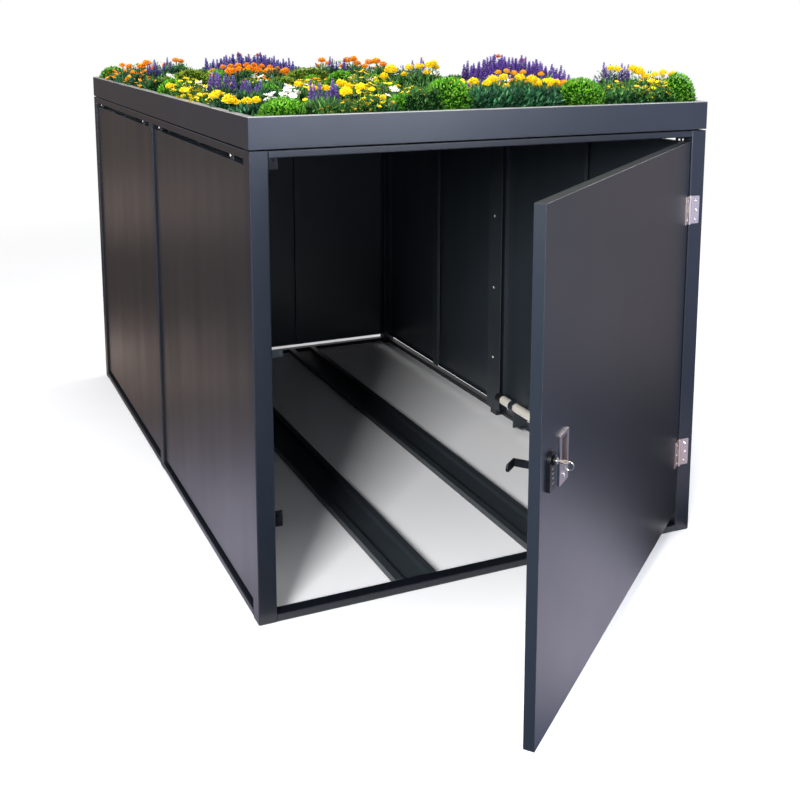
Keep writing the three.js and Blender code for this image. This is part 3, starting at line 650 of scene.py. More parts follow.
class Bed:
    def __init__(self, tag):
        self.tag = tag
        self.h = {k: Heap() for k in ("bushes", "foliage", "hedges", "pompoms", "spikes", "daisies", "cores", "cover")}

    # bright green ball bush
    def ball(self, x, y, top, r, n=1500, palette=BRIGHT, size=(0.0080, 0.0125)):
        z = max(SOIL + 0.006, top - 1.55 * r)
        c = (x, y, z)
        rad = np.array([r, r, top - z])
        # a dark body inside the bush: painted shade between the leaves
        lump(self.h["cores"], c, rad * 0.80, (0.006, 0.026, 0.002))
        p, d = dome_points(n, c, rad * 0.88, low=-0.45)
        ln = RNG.uniform(*size, n)
        d = unit(d * 0.62 + RNG.normal(0, 0.75, d.shape) + np.array([0, 0, 0.32]))
        col = shade(palette, n)
        # leaves darker towards the bottom of the bush: painted shade
        depth = ((p[:, 2] - z) / (top - z)).clip(0, 1)[:, None]
        col = col * (0.45 + 0.62 * depth)
        leaves(self.h["bushes"], p, d, unit(RNG.normal(0, 1, p.shape) + np.array([0, 0, 1.2])), ln, ln * 0.34, col, np.minimum(col * 1.7, 1), fold=0.2)

    def tuft(self, x, y, top, r, n=200, palette=TEAL, leaf=0.018, wide=0.34, heap="foliage"):
        """Loose leafy clump from the soil up to top."""
        z = SOIL + 0.004
        c = (x, y, z)
        rad = np.array([r, r, max(0.02, top - z - 0.35 * leaf)])
        # a dark body inside the clump: painted shade between the leaves
        lump(self.h["cores"], c, rad * 0.66, (0.003, 0.012, 0.004), seg=8, rings=4)
        p, d = dome_points(n, c, rad, low=0.0)
        q = RNG.random((n, 1)) ** 0.6
        p = np.array(c) + (p - np.array(c)) * (0.45 + 0.5 * q)
        d = unit(d + RNG.normal(0, 0.35, d.shape) + np.array([0, 0, 0.25]))
        ln = leaf * RNG.uniform(0.6, 1.15, n)
        p[:, 2] = np.minimum(p[:, 2], top - 0.4 * leaf)
        # leaves darker towards the middle of the clump: painted shade
        col = shade(palette, n) * (0.22 + 0.90 * q ** 1.5)
        leaves(self.h[heap], p, d, unit(RNG.normal(0, 0.5, p.shape) + np.array([0, 0, 1.0])), ln, ln * wide, col, np.minimum(col * 1.3, 1), fold=0.18)

    def pompom(self, x, y, z, r, palette=YELLOW, n=None):
        n = n or int(60 + 900 * r)
        c = np.array((x, y, z))
        tilt = RNG.normal(0, 0.18, 2)
        h = self.h["pompoms"]
        # a dome under the petals in a darker copy of the petal colour: painted shade in the head
        lump(h, c - np.array([0, 0, 0.30 * r]), np.array([0.62, 0.62, 0.5]) * r, np.array(palette[0]) * 0.7, seg=8, rings=4)
        i = np.arange(n) + 0.5
        pol = 1.75 * np.sqrt(i / n)
        az = i * 2.399963
        k = np.stack([np.sin(pol) * np.cos(az), np.sin(pol) * np.sin(az), np.cos(pol)], 1)
        k = unit(k + RNG.normal(0, 0.09, k.shape))
        k[:, 0] += tilt[0] * k[:, 2]
        k[:, 1] += tilt[1] * k[:, 2]
        flat = np.array([1.0, 1.0, 0.74])
        p = c + k * flat * r * 0.52 - np.array([0, 0, 0.12 * r])
        d = unit(k * flat + RNG.normal(0, 0.16, k.shape))
        up = unit(np.array([0, 0, 1.2]) - k * 0.2 + RNG.normal(0, 0.25, k.shape))
        # petal bases darker and more orange than the tips: partly the flower's own colour, partly painted shade
        col = shade(palette, n, 0.07)
        leaves(h, p, d, up, r * RNG.uniform(0.42, 0.56, n), r * RNG.uniform(0.34, 0.5, n), col * np.array([0.86, 0.60, 0.40]), np.minimum(col * 1.06, 1), fold=0.25, belly=0.72)
        g = self.h["foliage"]
        stems(g, [(x, y, SOIL - 0.004)], [c - np.array([0, 0, 0.35 * r])], 0.0016, (0.04, 0.14, 0.03))
        m = 6
        a = np.arange(m) * 1.047 + RNG.random()
        leaves(g, np.tile(c - np.array([0, 0, 0.55 * r]), (m, 1)), np.stack([np.cos(a), np.sin(a), np.full(m, 0.5)], 1),
               np.tile([0, 0, 1.0], (m, 1)), 0.6 * r, 0.3 * r, (0.05, 0.18, 0.06))

    def small(self, x, y, z, r, palette=YELLOW, petals=7, eye=(0.75, 0.28, 0.0), kind="daisies"):
        """One small open flower with a raised centre."""
        c = np.array((x, y, z))
        up = unit(np.array([RNG.normal(0, 0.35), RNG.normal(0, 0.35), 1.0]))
        s = unit(np.cross(up, [0.2, 0.9, 0.1]))
        t = np.cross(up, s)
        a = np.arange(petals) * 2 * math.pi / petals + RNG.random()
        d = np.cos(a)[:, None] * s + np.sin(a)[:, None] * t + 0.22 * up
        col = shade(palette, petals, 0.06)
        h = self.h[kind]
        leaves(h, c + d * 0.12 * r, d, np.tile(up, (petals, 1)), r * 0.95, r * 0.72, col * 0.82, np.minimum(col * 1.05, 1), fold=0.1, belly=0.62)
        lump(h, c + up * 0.05 * r, np.array([0.24, 0.24, 0.2]) * r, eye, seg=6, rings=3)
        stems(self.h["foliage"], [(x, y, SOIL - 0.004)], [c], 0.0009, (0.04, 0.14, 0.03))

    def spike(self, x, y, base, top, palette=VIOLET, fat=1.0):
        """A flower spike: whorls of small lipped flowers that close up towards the tip."""
        lean = RNG.normal(0, 0.06, 2)
        hgt = top - base
        rings = max(6, int(hgt / 0.0043))
        per = 5
        k = np.repeat(np.arange(rings), per)
        t = (k + RNG.uniform(-0.2, 0.2, len(k))) / rings
        start = 0.22
        z = base + hgt * (start + (1 - start) * t)
        cx = x + lean[0] * (z - base)
        cy = y + lean[1] * (z - base)
        a = np.tile(np.arange(per), rings) * 1.2566 + k * 0.63 + RNG.normal(0, 0.15, len(k))
        size = (0.0078 * (1 - 0.68 * t) * fat) * RNG.uniform(0.8, 1.15, len(k))
        d = np.stack([np.cos(a), np.sin(a), 0.35 + 0.9 * t], 1)
        p = np.stack([cx, cy, np.minimum(z, top - size * 0.6)], 1)
        # lower flowers of each spike darker than the upper ones: painted shade
        col = shade(palette, len(k), 0.20) * (0.55 + 0.65 * t)[:, None]
        leaves(self.h["spikes"], p, d, np.tile([0, 0, 1.0], (len(k), 1)), size, size * 0.62, col, np.minimum(col * 1.5 + 0.02, 1), fold=0.3, belly=0.6)
        stems(self.h["spikes"], [[x, y, base - 0.012]], [[x + lean[0] * hgt, y + lean[1] * hgt, top - 0.004]], 0.0014, (0.025, 0.03, 0.04))

    def spikes(self, x, y, top, r, n=6, palette=VIOLET, base=None, foliage=True, fat=1.0):
        if foliage:
            self.tuft(x, y, min(top - 0.045, SOIL + 0.07), r * 1.1, n=90, palette=MIXED, leaf=0.017, wide=0.26)
        for i in range(n):
            a, q = i * 2.4 + RNG.random(), r * math.sqrt((i + 0.5) / n)
            t = top - RNG.uniform(0, 0.02) - 0.12 * q
            self.spike(x + q * math.cos(a), y + q * math.sin(a), base or max(SOIL + 0.02, t - RNG.uniform(0.055, 0.075)), t, palette, fat)

    def marigold(self, x, y, top, r, n=4, palette=YELLOW, head=0.019, leaf_top=None):
        self.tuft(x, y, leaf_top or top - 0.018, r * 1.15, n=int(150 + 700 * r), palette=TEAL, leaf=0.019, wide=0.3)
        for i in range(n):
            a, q = i * 2.4 + RNG.random(), r * math.sqrt((i + 0.35) / n)
            hr = head * RNG.uniform(0.78, 1.12)
            self.pompom(x + q * math.cos(a), y + q * math.sin(a), top - 0.5 * hr - RNG.uniform(0, 0.012) - 0.1 * q, hr, palette)

    def lantana(self, x, y, top, r, n=16, palette=YELLOW, size=0.0085, leaf=MIXED):
        """Dense little flowers over small leaves."""
        self.tuft(x, y, top - 0.010, r * 0.92, n=int(140 + 1700 * r), palette=leaf, leaf=0.013, wide=0.42)
        c = (x, y, SOIL)
        p, _ = dome_points(n, c, (r * 0.95, r * 0.95, top - SOIL - 0.006), low=0.25)
        for q in p:
            self.small(*q, size * RNG.uniform(0.75, 1.2), palette)

    def whites(self, x, y, top, r, n=7, size=(0.0105, 0.014)):
        self.tuft(x, y, top - 0.010, r, n=70, palette=MIXED, leaf=0.014, wide=0.5)
        c = (x, y, SOIL)
        p, _ = dome_points(n, c, (r * 0.9, r * 0.9, top - SOIL), low=0.45)
        for q in p:
            self.small(*q, RNG.uniform(*size), WHITE, petals=9 if size[0] > 0.012 else 6, eye=(0.80, 0.74, 0.45))

    def mound(self, x, y, top, r, palette=OLIVE, n=700):
        z = SOIL
        # a dark body inside the mound: painted shade between the leaves
        lump(self.h["cores"], (x, y, z), np.array([r, r, top - z]) * 0.88, (0.012, 0.028, 0.003), low=0.0)
        p, d = dome_points(n, (x, y, z), (r * 0.93, r * 0.93, (top - z) * 0.93), low=0.03)
        ln = RNG.uniform(0.0065, 0.010, n)
        d = unit(d * 0.8 + RNG.normal(0, 0.7, d.shape) + np.array([0, 0, 0.3]))
        col = shade(palette, n)
        leaves(self.h["bushes"], p, d, unit(RNG.normal(0, 1, p.shape) + np.array([0, 0, 1.2])), ln, ln * 0.36, col, np.minimum(col * 1.3, 1), fold=0.2)

    def cover(self, x0, x1, y0, y1, n=15000):
        """Low leaves that hide the soil between the plants."""
        p = np.stack([RNG.uniform(x0, x1, n), RNG.uniform(y0, y1, n), RNG.uniform(SOIL - 0.001, SOIL + 0.010, n)], 1)
        patch = 0.5 + 0.5 * np.sin(p[:, 0] * 13 + 2 * np.sin(p[:, 1] * 7)) * np.sin(p[:, 1] * 11)
        d = unit(np.hstack([RNG.normal(0, 1, (n, 2)), 0.35 + 0.5 * RNG.random((n, 1))]))
        ln = RNG.uniform(0.012, 0.022, n) * (0.7 + 0.6 * patch)
        col = np.where(patch[:, None] > 0.5, shade(TEAL, n), shade(MIXED, n)) * RNG.uniform(0.45, 0.95, (n, 1))
        leaves(self.h["cover"], p, d, np.tile([0, 0, 1.0], (n, 1)), ln, ln * 0.46, col, np.minimum(col * 1.25, 1), fold=0.15)

    def finish(self, nodes):
        leaf = tinted(f"leaf_{self.tag}", rough=0.58, spec=0.22)
        petal = tinted(f"petal_{self.tag}", rough=0.62, spec=0.25, vary=0.12)
        core = tinted(f"core_{self.tag}", rough=0.9, spec=0.0, vary=0.4)
        out = []
        for k, h in self.h.items():
            if not h.v:
                continue
            o = h.mesh(f"bed_{self.tag}_{k}", core if k == "cores" else petal if k in ("pompoms", "daisies", "spikes") else leaf)
            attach(o, "locker")
            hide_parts(*nodes)
            out.append(o)
        return out


front, rear = Bed("front"), Bed("rear")
bed_of = lambda y: front if y < 1.125 else rear


def at(px, py, y):
    """Where the view through a point of the frame meets the upright plane at depth y."""
    r, u, f = camera_axes()
    d = f + r * ((px - 400.0) / F_PX) - u * ((py - PP_Y) / F_PX)
    t = (y - CAM_AT[1]) / d.y
    return CAM_AT[0] + d.x * t, CAM_AT[2] + d.z * t


def seen_at(x, y, z):
    """Where a point shows in the frame."""
    r, u, f = camera_axes()
    d = Vector((x, y, z)) - Vector(CAM_AT)
    return 400 + F_PX * d.dot(r) / d.dot(f), PP_Y - F_PX * d.dot(u) / d.dot(f)


def inside(x, y, r):
    """Keeps a plant of radius r within the tray."""
    return min(max(x, -0.686 + r), 0.686 - r), min(max(y, -0.021 + r), 2.271 - r)


TAKEN = []


def put(kind, px, py, y, r, **kw):
    """Plants one kind with its top seen at that height, at depth y."""
    x, top = at(px, py, y)
    x, y = inside(x, y, r * 1.02)
    getattr(bed_of(y), kind)(x, y, max(min(top, TOP), SOIL + 0.03), r, **kw)
    TAKEN.append((x, y, r))


def heads(spots, y, palette, r=0.019):
    """Single flower heads on their stems. spots: (across, up, size) as seen in the frame."""
    for px, py, k in spots:
        yy = y + RNG.normal(0, 0.008)
        x, z = at(px, py, yy)
        x, yy = inside(x, yy, r * k + 0.004)
        bed_of(yy).pompom(x, yy, min(max(z, SOIL + 0.035), TOP - 0.4 * r), r * k, palette)


def spires(spots, y, palette=VIOLET, tall=0.062, fat=1.5, jitter=0.012):
    for px, py in spots:
        yy = y + RNG.normal(0, jitter)
        x, top = at(px, py, yy)
        x, yy = inside(x, yy, 0.014)
        top = max(min(top, TOP), SOIL + 0.05)
        bed_of(yy).spike(x, yy, max(SOIL + 0.012, top - tall * RNG.uniform(0.85, 1.15)), top, palette, fat)


def drift(spots, depth, palette):
    """A thick stand of spikes: the front row as seen, and lower rows before and behind it."""
    for px, py in spots:
        y = depth
        while y > 0.3 and at(px, py, y)[0] > 0.655:
            y -= 0.02
        for dy, drop in ((0.0, 0.0), (0.028, 0.012), (-0.030, 0.017), (-0.055, 0.030)):
            x, top = at(px + RNG.normal(0, 1.0), py, y)
            xx, yy = inside(x, y + dy, 0.014)
            top = max(min(top - drop + RNG.normal(0, 0.002), TOP), SOIL + 0.06)
            bed_of(yy).spike(xx, yy, max(SOIL + 0.012, top - RNG.uniform(0.062, 0.082)), top, palette, 1.9)
        TAKEN.append((*inside(at(px, py, y)[0], y, 0.03), 0.035))


def hedge(px0, px1, py, depths, r=0.040, step=11, lift=3.0, **kw):
    """Leafy ground under the flowers, several clumps deep."""
    for y in depths:
        px = px0 + RNG.uniform(0, step)
        while px < px1:
            x, top = at(px, py + RNG.normal(0, lift), y)
            if abs(x) < 0.68:
                x, yy = inside(x, y, r)
                bed_of(yy).tuft(x, yy, max(min(top, TOP), SOIL + 0.025), r, heap="hedges", **kw)
            px += step


def plan():
    hedge(608, 692, 87, (0.045, 0.11), n=230, palette=TEAL, leaf=0.015, wide=0.34)
    hedge(606, 646, 78, (0.19, 0.28, 0.36), n=230, palette=MIXED, leaf=0.015, wide=0.34)
    hedge(640, 688, 79, (0.12, 0.19), n=230, palette=TEAL, leaf=0.015, wide=0.34)
    hedge(314, 396, 66.5, (1.45, 1.60), n=200, palette=TEAL, leaf=0.018, wide=0.36, step=10)
    hedge(166, 186, 65, (1.6, 1.75), n=200, palette=TEAL, leaf=0.016, wide=0.36, step=8)
    hedge(116, 150, 68, (1.8, 1.95), n=200, palette=TEAL, leaf=0.016, wide=0.36, step=8)
    hedge(402, 438, 71, (0.68, 0.82), n=220, palette=MIXED, leaf=0.016, wide=0.34, step=8)
    hedge(600, 690, 86, (0.03, 0.08), n=200, palette=MIXED, leaf=0.014, wide=0.30)
    hedge(402, 432, 84, (0.04, 0.12, 0.25), n=210, palette=MIXED, leaf=0.015, wide=0.26)
    hedge(308, 392, 98, (0.04, 0.12), n=210, palette=MIXED, leaf=0.014, wide=0.28)
    hedge(318, 392, 86, (0.25, 0.36), n=200, palette=TEAL, leaf=0.015, wide=0.32)
    hedge(474, 550, 86, (0.04, 0.10), n=230, palette=TEAL, leaf=0.020, wide=0.36)
    hedge(474, 552, 79, (0.18, 0.26), n=210, palette=MIXED, leaf=0.018, wide=0.30)
    hedge(210, 262, 96, (0.34, 0.46), n=210, palette=TEAL, leaf=0.018, wide=0.34)
    hedge(232, 300, 84, (0.80, 0.92, 1.05), n=200, palette=TEAL, leaf=0.020, wide=0.36, step=14)
    hedge(105, 150, 74, (1.55, 1.75, 1.95), n=180, palette=TEAL, leaf=0.015, wide=0.36, step=9)
    # the front edge, left to right
    put("ball", 283, 97, 0.055, 0.068, n=2300)
    put("tuft", 250, 104, 0.16, 0.060, palette=TEAL, n=260, leaf=0.020)
    put("tuft", 322, 96, 0.055, 0.050, palette=MIXED, n=260, leaf=0.017, wide=0.22)
    put("lantana", 325, 104, 0.035, 0.040, n=12, palette=[(0.55, 0.25, 0.0), (0.78, 0.50, 0.01)], size=0.0055)
    put("lantana", 349, 97, 0.045, 0.045, n=20, palette=[(0.62, 0.32, 0.0), (0.80, 0.55, 0.01)], size=0.0062)
    put("lantana", 372, 92, 0.060, 0.052, n=26, size=0.0075)
    put("lantana", 358, 80, 0.170, 0.060, n=30, size=0.0078)
    put("lantana", 378, 76, 0.230, 0.062, n=30, size=0.0080)
    put("tuft", 385, 101, 0.032, 0.042, palette=TEAL, n=180, leaf=0.016)
    put("ball", 401, 93, 0.060, 0.042, n=1200)
    put("tuft", 417, 90, 0.055, 0.050, palette=MIXED, n=330, leaf=0.016, wide=0.20)
    put("ball", 448, 75, 0.085, 0.081, n=3000)
    put("tuft", 483, 88, 0.050, 0.046, palette=TEAL, n=330, leaf=0.021, wide=0.36)
    put("tuft", 503, 85, 0.055, 0.056, palette=TEAL, n=380, leaf=0.022, wide=0.36)
    put("tuft", 531, 84, 0.055, 0.056, palette=TEAL, n=380, leaf=0.022, wide=0.36)
    put("tuft", 548, 87, 0.045, 0.042, palette=TEAL, n=260, leaf=0.020, wide=0.36)
    put("tuft", 515, 77, 0.160, 0.075, palette=MIXED, n=300, leaf=0.018)
    put("ball", 581, 76, 0.085, 0.083, n=3000)
    put("tuft", 612, 84, 0.060, 0.052, palette=MIXED, n=330, leaf=0.016, wide=0.20)
    put("lantana", 640, 84, 0.055, 0.050, n=34, size=0.0072)
    put("lantana", 661, 79, 0.060, 0.050, n=44, size=0.0076)
    put("lantana", 648, 73, 0.150, 0.050, n=40, size=0.0082)
    put("lantana", 668, 72, 0.130, 0.050, n=44, size=0.0082)
    put("lantana", 679, 76, 0.075, 0.036, n=18, size=0.0078)
    put("ball", 691, 71, 0.040, 0.054, n=1500)
    put("lantana", 617, 79, 0.10, 0.045, n=30, size=0.0062, palette=[(0.82, 0.45, 0.0), (0.94, 0.72, 0.003)])
    put("lantana", 412, 84, 0.10, 0.045, n=26, size=0.0055, palette=[(0.82, 0.40, 0.0), (0.94, 0.68, 0.003)])
    heads([(229, 99, 1.15), (222, 96, 0.85), (236, 103, 0.7), (214, 96, 0.85)], 0.42, YELLOW)
    heads([(247, 101, 0.85), (256, 100, 0.75)], 0.28, YELLOW)
    heads([(346, 86, 1.0), (341, 83, 0.8), (361, 86, 0.75), (299, 84, 0.7), (313, 88, 0.8), (326, 88, 0.7)], 0.20, YELLOW)
    heads([(391, 69, 1.15), (384, 76, 0.8)], 0.50, YELLOW)
    heads([(392, 104, 0.75), (376, 109, 0.6), (366, 111, 0.5), (383, 97, 0.6), (372, 89, 0.6)], 0.05, YELLOW, r=0.016)
    heads([(474, 81, 0.85), (492, 79, 0.95), (487, 83, 0.8), (503, 77, 0.85), (506, 86, 0.65), (520, 77, 0.85),
           (532, 79, 1.0), (538, 83, 0.75), (550, 81, 0.8), (556, 82, 0.7)], 0.075, YELLOW, r=0.0175)
    heads([(498, 72, 0.55), (507, 71, 0.55), (514, 73, 0.6), (523, 72, 0.55), (541, 74, 0.55)], 0.19, [(0.66, 0.30, 0.0), (0.80, 0.45, 0.005)])
    heads([(639, 71, 1.05), (633, 68, 0.8), (645, 76, 0.7), (618, 69, 0.7), (611, 68, 0.65)], 0.16, YELLOW)
    heads([(655, 74, 0.7), (663, 72, 0.75), (672, 74, 0.8), (668, 87, 0.8), (682, 84, 0.8), (652, 81, 0.6)], 0.065, YELLOW, r=0.017)
    spires([(312, 79), (315, 84), (320, 82), (331, 80), (334, 78), (337, 84), (325, 90), (329, 95)], 0.15)
    spires([(604, 62), (607, 66), (611, 64), (622, 63), (625, 66), (628, 64), (618, 72)], 0.26)
    # the clump between the two middle balls, farther back
    put("tuft", 419, 73, 0.55, 0.060, palette=MIXED, n=200, leaf=0.018, wide=0.22)
    spires([(404, 65), (413, 60), (417, 63), (421, 57), (424, 60), (409, 68)], 0.86)
    heads([(409, 67, 0.8), (419, 66, 0.8), (429, 65, 0.8), (433, 63, 0.8), (436, 67, 0.7), (427, 72, 0.7), (404, 74, 0.6)], 0.62, YELLOW)
    # the left side, front to back
    put("lantana", 204, 92, 0.62, 0.050, n=24)
    put("lantana", 214, 99, 0.50, 0.040, n=14)
    put("tuft", 232, 103, 0.36, 0.060, palette=TEAL, n=280, leaf=0.020)
    put("lantana", 188, 76, 0.86, 0.062, n=32)
    put("lantana", 193, 86, 0.74, 0.045, n=20)
    put("ball", 166, 78, 1.02, 0.055, n=1500)
    put("mound", 191, 69, 1.30, 0.090, n=1100)
    put("whites", 172, 73, 1.17, 0.016, n=4, size=(0.0125, 0.016))
    put("tuft", 150, 74, 1.28, 0.060, palette=MIXED, n=200, leaf=0.016)
    put("lantana", 141, 75, 1.42, 0.050, n=18, palette=ORANGE, leaf=TEAL)
    put("lantana", 131, 71, 1.62, 0.055, n=26, palette=ORANGE, leaf=TEAL)
    put("lantana", 120, 66, 1.86, 0.060, n=30, palette=ORANGE, leaf=TEAL)
    put("lantana", 112, 68, 2.02, 0.050, n=20, palette=ORANGE, leaf=TEAL)
    put("ball", 104, 66, 2.17, 0.062, n=1500)
    heads([(141, 66, 0.9), (147, 63, 1.0), (152, 68, 0.8), (144, 72, 0.7), (176, 60, 0.8), (181, 61, 0.7), (165, 65, 0.7), (120, 65, 0.7), (129, 66, 0.7), (133, 72, 0.6)], 1.70, ORANGE)
    spires([(150, 63), (154, 59), (157, 62), (163, 62), (167, 57), (171, 61), (160, 66)], 1.62, INDIGO)
    # the middle
    spires([(209, 73), (213, 72), (217, 71), (220, 74), (224, 73), (228, 76), (232, 75), (236, 78), (241, 80), (245, 79), (250, 82), (255, 84), (259, 80), (262, 86)], 0.72)
    put("tuft", 222, 84, 0.70, 0.060, palette=MIXED, n=200, leaf=0.018, wide=0.24)
    put("tuft", 255, 90, 0.52, 0.060, palette=MIXED, n=220, leaf=0.018, wide=0.24)
    put("whites", 271, 92, 0.40, 0.018, n=4, size=(0.0125, 0.016))
    put("whites", 290, 86, 0.45, 0.026, n=8, size=(0.013, 0.017))
    put("whites", 393, 87, 0.13, 0.016, n=4, size=(0.0125, 0.016))
    put("mound", 309, 67, 1.45, 0.115, n=1300)
    put("ball", 341, 69, 0.95, 0.065, n=1500, palette=BRIGHT)
    heads([(213, 72, 0.8), (230, 72, 1.05), (240, 70, 0.85), (249, 69.5, 0.9), (257, 70, 0.85), (268, 72, 1.05), (285, 71.5, 0.95), (246, 76, 0.6), (254, 75.5, 0.6), (240, 77, 0.6)], 1.84, ORANGE, r=0.026)
    heads([(223, 67, 0.6), (231, 66, 0.6), (238, 65.5, 0.65), (246, 65, 0.65), (254, 65, 0.65), (262, 66, 0.6), (270, 67, 0.6), (277, 68, 0.5)], 1.97, ORANGE, r=0.024)
    heads([(239, 54.5, 0.7), (258, 55, 0.7)], 2.13, RED, r=0.018)
    heads([(498, 56, 0.7), (523, 60, 0.7)], 1.01, RED, r=0.016)
    put("tuft", 262, 76, 1.55, 0.095, palette=TEAL, n=420, leaf=0.024, wide=0.36)
    put("tuft", 238, 78, 1.45, 0.070, palette=TEAL, n=300, leaf=0.024, wide=0.36)
    drift([(205, 66), (208, 58), (214, 59), (219, 60), (223, 56), (227, 55), (231, 54), (235, 56), (238, 51), (242, 54), (246, 55), (250, 54), (254, 55),
           (258, 54), (262, 52), (266, 55), (270, 56), (274, 55), (278, 60), (283, 59), (287, 61), (290, 58), (294, 66)], 2.10, INDIGO)
    drift([(466, 68), (468, 61), (474, 63), (478, 62), (484, 58), (488, 57), (492, 57), (497, 53), (501, 55), (505, 56), (509, 57), (513, 58),
           (517, 58), (521, 56), (525, 57), (529, 60), (533, 60), (537, 59), (541, 62), (546, 66), (550, 65), (555, 67), (559, 65), (563, 73)], 0.98, VIOLET[:3])
    heads([(322, 60, 0.8), (328, 63, 0.7), (347, 60, 0.9), (353, 59, 0.9), (357, 63, 0.8), (319, 66, 0.6), (342, 66, 0.6)], 1.62, ORANGE, r=0.021)
    spires([(329, 56), (333, 58), (337, 62), (343, 58), (346, 62), (350, 66)], 1.58, INDIGO)
    heads([(369, 62, 0.9), (376, 61, 1.0), (383, 64, 0.8), (365, 66, 0.7)], 1.20, ORANGE)
    put("tuft", 348, 72, 1.30, 0.060, palette=MIXED, n=200, leaf=0.018, wide=0.24)
    put("lantana", 362, 68, 0.78, 0.060, n=28)
    put("lantana", 300, 78, 0.70, 0.055, n=22)


SKY = [(99, 70), (120, 66), (140, 62), (182, 64), (200, 68), (290, 68), (318, 66), (362, 64), (386, 66), (400, 70), (440, 74), (470, 78), (565, 80), (600, 76), (646, 72), (700, 76)]


def interior():
    """The rest of the tray: low ground cover where the front view looks over it, and taller drifts of the same plants behind the right half."""
    free = lambda x, y, r: all((x - a) ** 2 + (y - b) ** 2 > (0.74 * (r + c)) ** 2 for a, b, c in TAKEN)
    low = ["tuft", "tuft", "lantana", "mixed", "mound", "whites", "lantana", "mound2", "small_ball"]
    tall = ["ball", "marigold", "lantana", "spikes", "mound", "whites", "marigold_o", "mound2", "tuft", "lantana", "spikes"]
    ny, nx = 18, 11
    for j in range(ny):
        for i in range(nx):
            x = -0.61 + 1.22 * (i + 0.5 * (j % 2)) / (nx - 0.5) + RNG.normal(0, 0.012)
            y = 0.04 + 2.17 * j / (ny - 1) + RNG.normal(0, 0.012)
            r = RNG.uniform(0.055, 0.075)
            x, y = inside(x, y, r)
            if not free(x, y, r):
                r = 0.042
                if not free(x, y, r):
                    continue
            TAKEN.append((x, y, r))
            b = bed_of(y)
            px, _ = seen_at(x, y, 1.37)
            seen = px < 462
            kinds = low if seen else tall
            k = kinds[int(RNG.integers(len(kinds)))]
            cap = at(px, float(np.interp(px, *zip(*SKY))), y)[1]
            if seen:
                cap = min(cap, 1.340 + 0.014 * y)
            lift = RNG.uniform(-0.008, 0.008)
            h = lambda z: max(min(z + lift, cap + 0.5 * lift), SOIL + 0.035)
            if k in ("ball", "small_ball"):
                b.ball(x, y, h(1.380), r * (1.05 if k == "ball" else 0.75), n=1100)
            elif k == "marigold":
                b.marigold(x, y, h(1.388), r * 0.85, n=4)
            elif k == "marigold_o":
                b.marigold(x, y, h(1.386), r * 0.85, n=4, palette=ORANGE)
            elif k == "lantana":
                b.lantana(x, y, h(1.376), r, n=20, palette=[YELLOW, ORANGE][int(y > 1.2)])
            elif k == "spikes":
                b.spikes(x, y, h(1.408), r * 0.85, n=7, fat=1.5)
            elif k == "whites":
                b.whites(x, y, h(1.380), r * 0.8)
            elif k == "mound":
                b.mound(x, y, h(1.362), r * 1.1)
            elif k == "mound2":
                b.mound(x, y, h(1.360), r * 1.1, palette=BRIGHT)
            else:
                b.tuft(x, y, h(1.370), r, n=260, palette=TEAL if k == "tuft" else MIXED)


def near_heads():
    """The large yellow heads that stand close to the tray's left rim."""
    heads([(229, 99.5, 1.10), (237, 105, 0.62)], 0.27, YELLOW)
    heads([(215, 94, 0.90)], 0.36, YELLOW)
    heads([(170, 86, 0.80)], 0.95, YELLOW)
    heads([(184, 90, 0.78)], 0.78, YELLOW)
    heads([(346, 91, 1.05), (360, 87, 0.8), (378, 108, 0.85), (371, 113, 0.5)], 0.045, YELLOW, r=0.017)
    # leaves behind the tall flowers, up to the height of the heads
    for px0, px1, py, y in ((139, 182, 61.5, 1.76), (318, 358, 59.5, 1.67), (360, 388, 62.5, 1.26), (403, 437, 62.0, 0.72), (601, 640, 66.0, 0.31), (640, 678, 71.0, 0.20)):
        hedge(px0, px1, py, (y,), r=0.034, step=7, lift=1.5, n=190, palette=MIXED, leaf=0.015, wide=0.30)


plan()
interior()
near_heads()
front.cover(-0.665, 0.665, -0.003, 1.12)
rear.cover(-0.665, 0.665, 1.13, 2.253)
PLANTS = front.finish(["flower_bed_front"]) + rear.finish(["flower_bed_rear"])


def soil_block():
    """The growing medium: the CAD block's outline with a raked, clumpy top."""
    lo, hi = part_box("soil")
    nx, ny = 110, 180
    xs, ys = np.linspace(lo.x, hi.x, nx), np.linspace(lo.y, hi.y, ny)
    gx, gy = np.meshgrid(xs, ys)
    z = hi.z - 0.006 + 0.004 * np.sin(gx * 31 + 2 * np.sin(gy * 17)) * np.sin(gy * 27) + RNG.normal(0, 0.0022, gx.shape)
    z = np.minimum(z, hi.z)
    top = np.stack([gx, gy, z], -1).reshape(-1, 3)
    bot = top.copy()
    bot[:, 2] = lo.z
    n = nx * ny
    a = (np.arange(ny - 1)[:, None] * nx + np.arange(nx - 1)[None]).ravel()
    f = [np.stack([a, a + 1, a + nx + 1], 1), np.stack([a, a + nx + 1, a + nx], 1),
         np.stack([n + a, n + a + nx + 1, n + a + 1], 1), np.stack([n + a, n + a + nx, n + a + nx + 1], 1)]
    loop = np.concatenate([np.arange(nx), np.arange(1, ny) * nx + nx - 1, n - 2 - np.arange(nx - 1), (np.arange(ny - 2, 0, -1)) * nx])
    nxt = np.roll(loop, -1)
    f += [np.stack([n + loop, n + nxt, nxt], 1), np.stack([n + loop, nxt, loop], 1)]
    h = Heap()
    h.add(np.concatenate([top, bot]), np.concatenate(f), (0.05, 0.035, 0.025))
    o = h.mesh("soil_surface", soil_material(), smooth=True)
    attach(o, "locker")
    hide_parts("soil")


soil_block()


# ------------------------------------------------------------------ floor and light
def stage_plane(name, x0, x1, y0, y1, z, material):
    me = bpy.data.meshes.new(name)
    me.from_pydata([(x0, y0, z), (x1, y0, z), (x1, y1, z), (x0, y1, z)], [], [(0, 1, 2, 3)])
    me.materials.append(material)
    o = bpy.data.objects.new(name, me)
    SCENE.collection.objects.link(o)
    return o


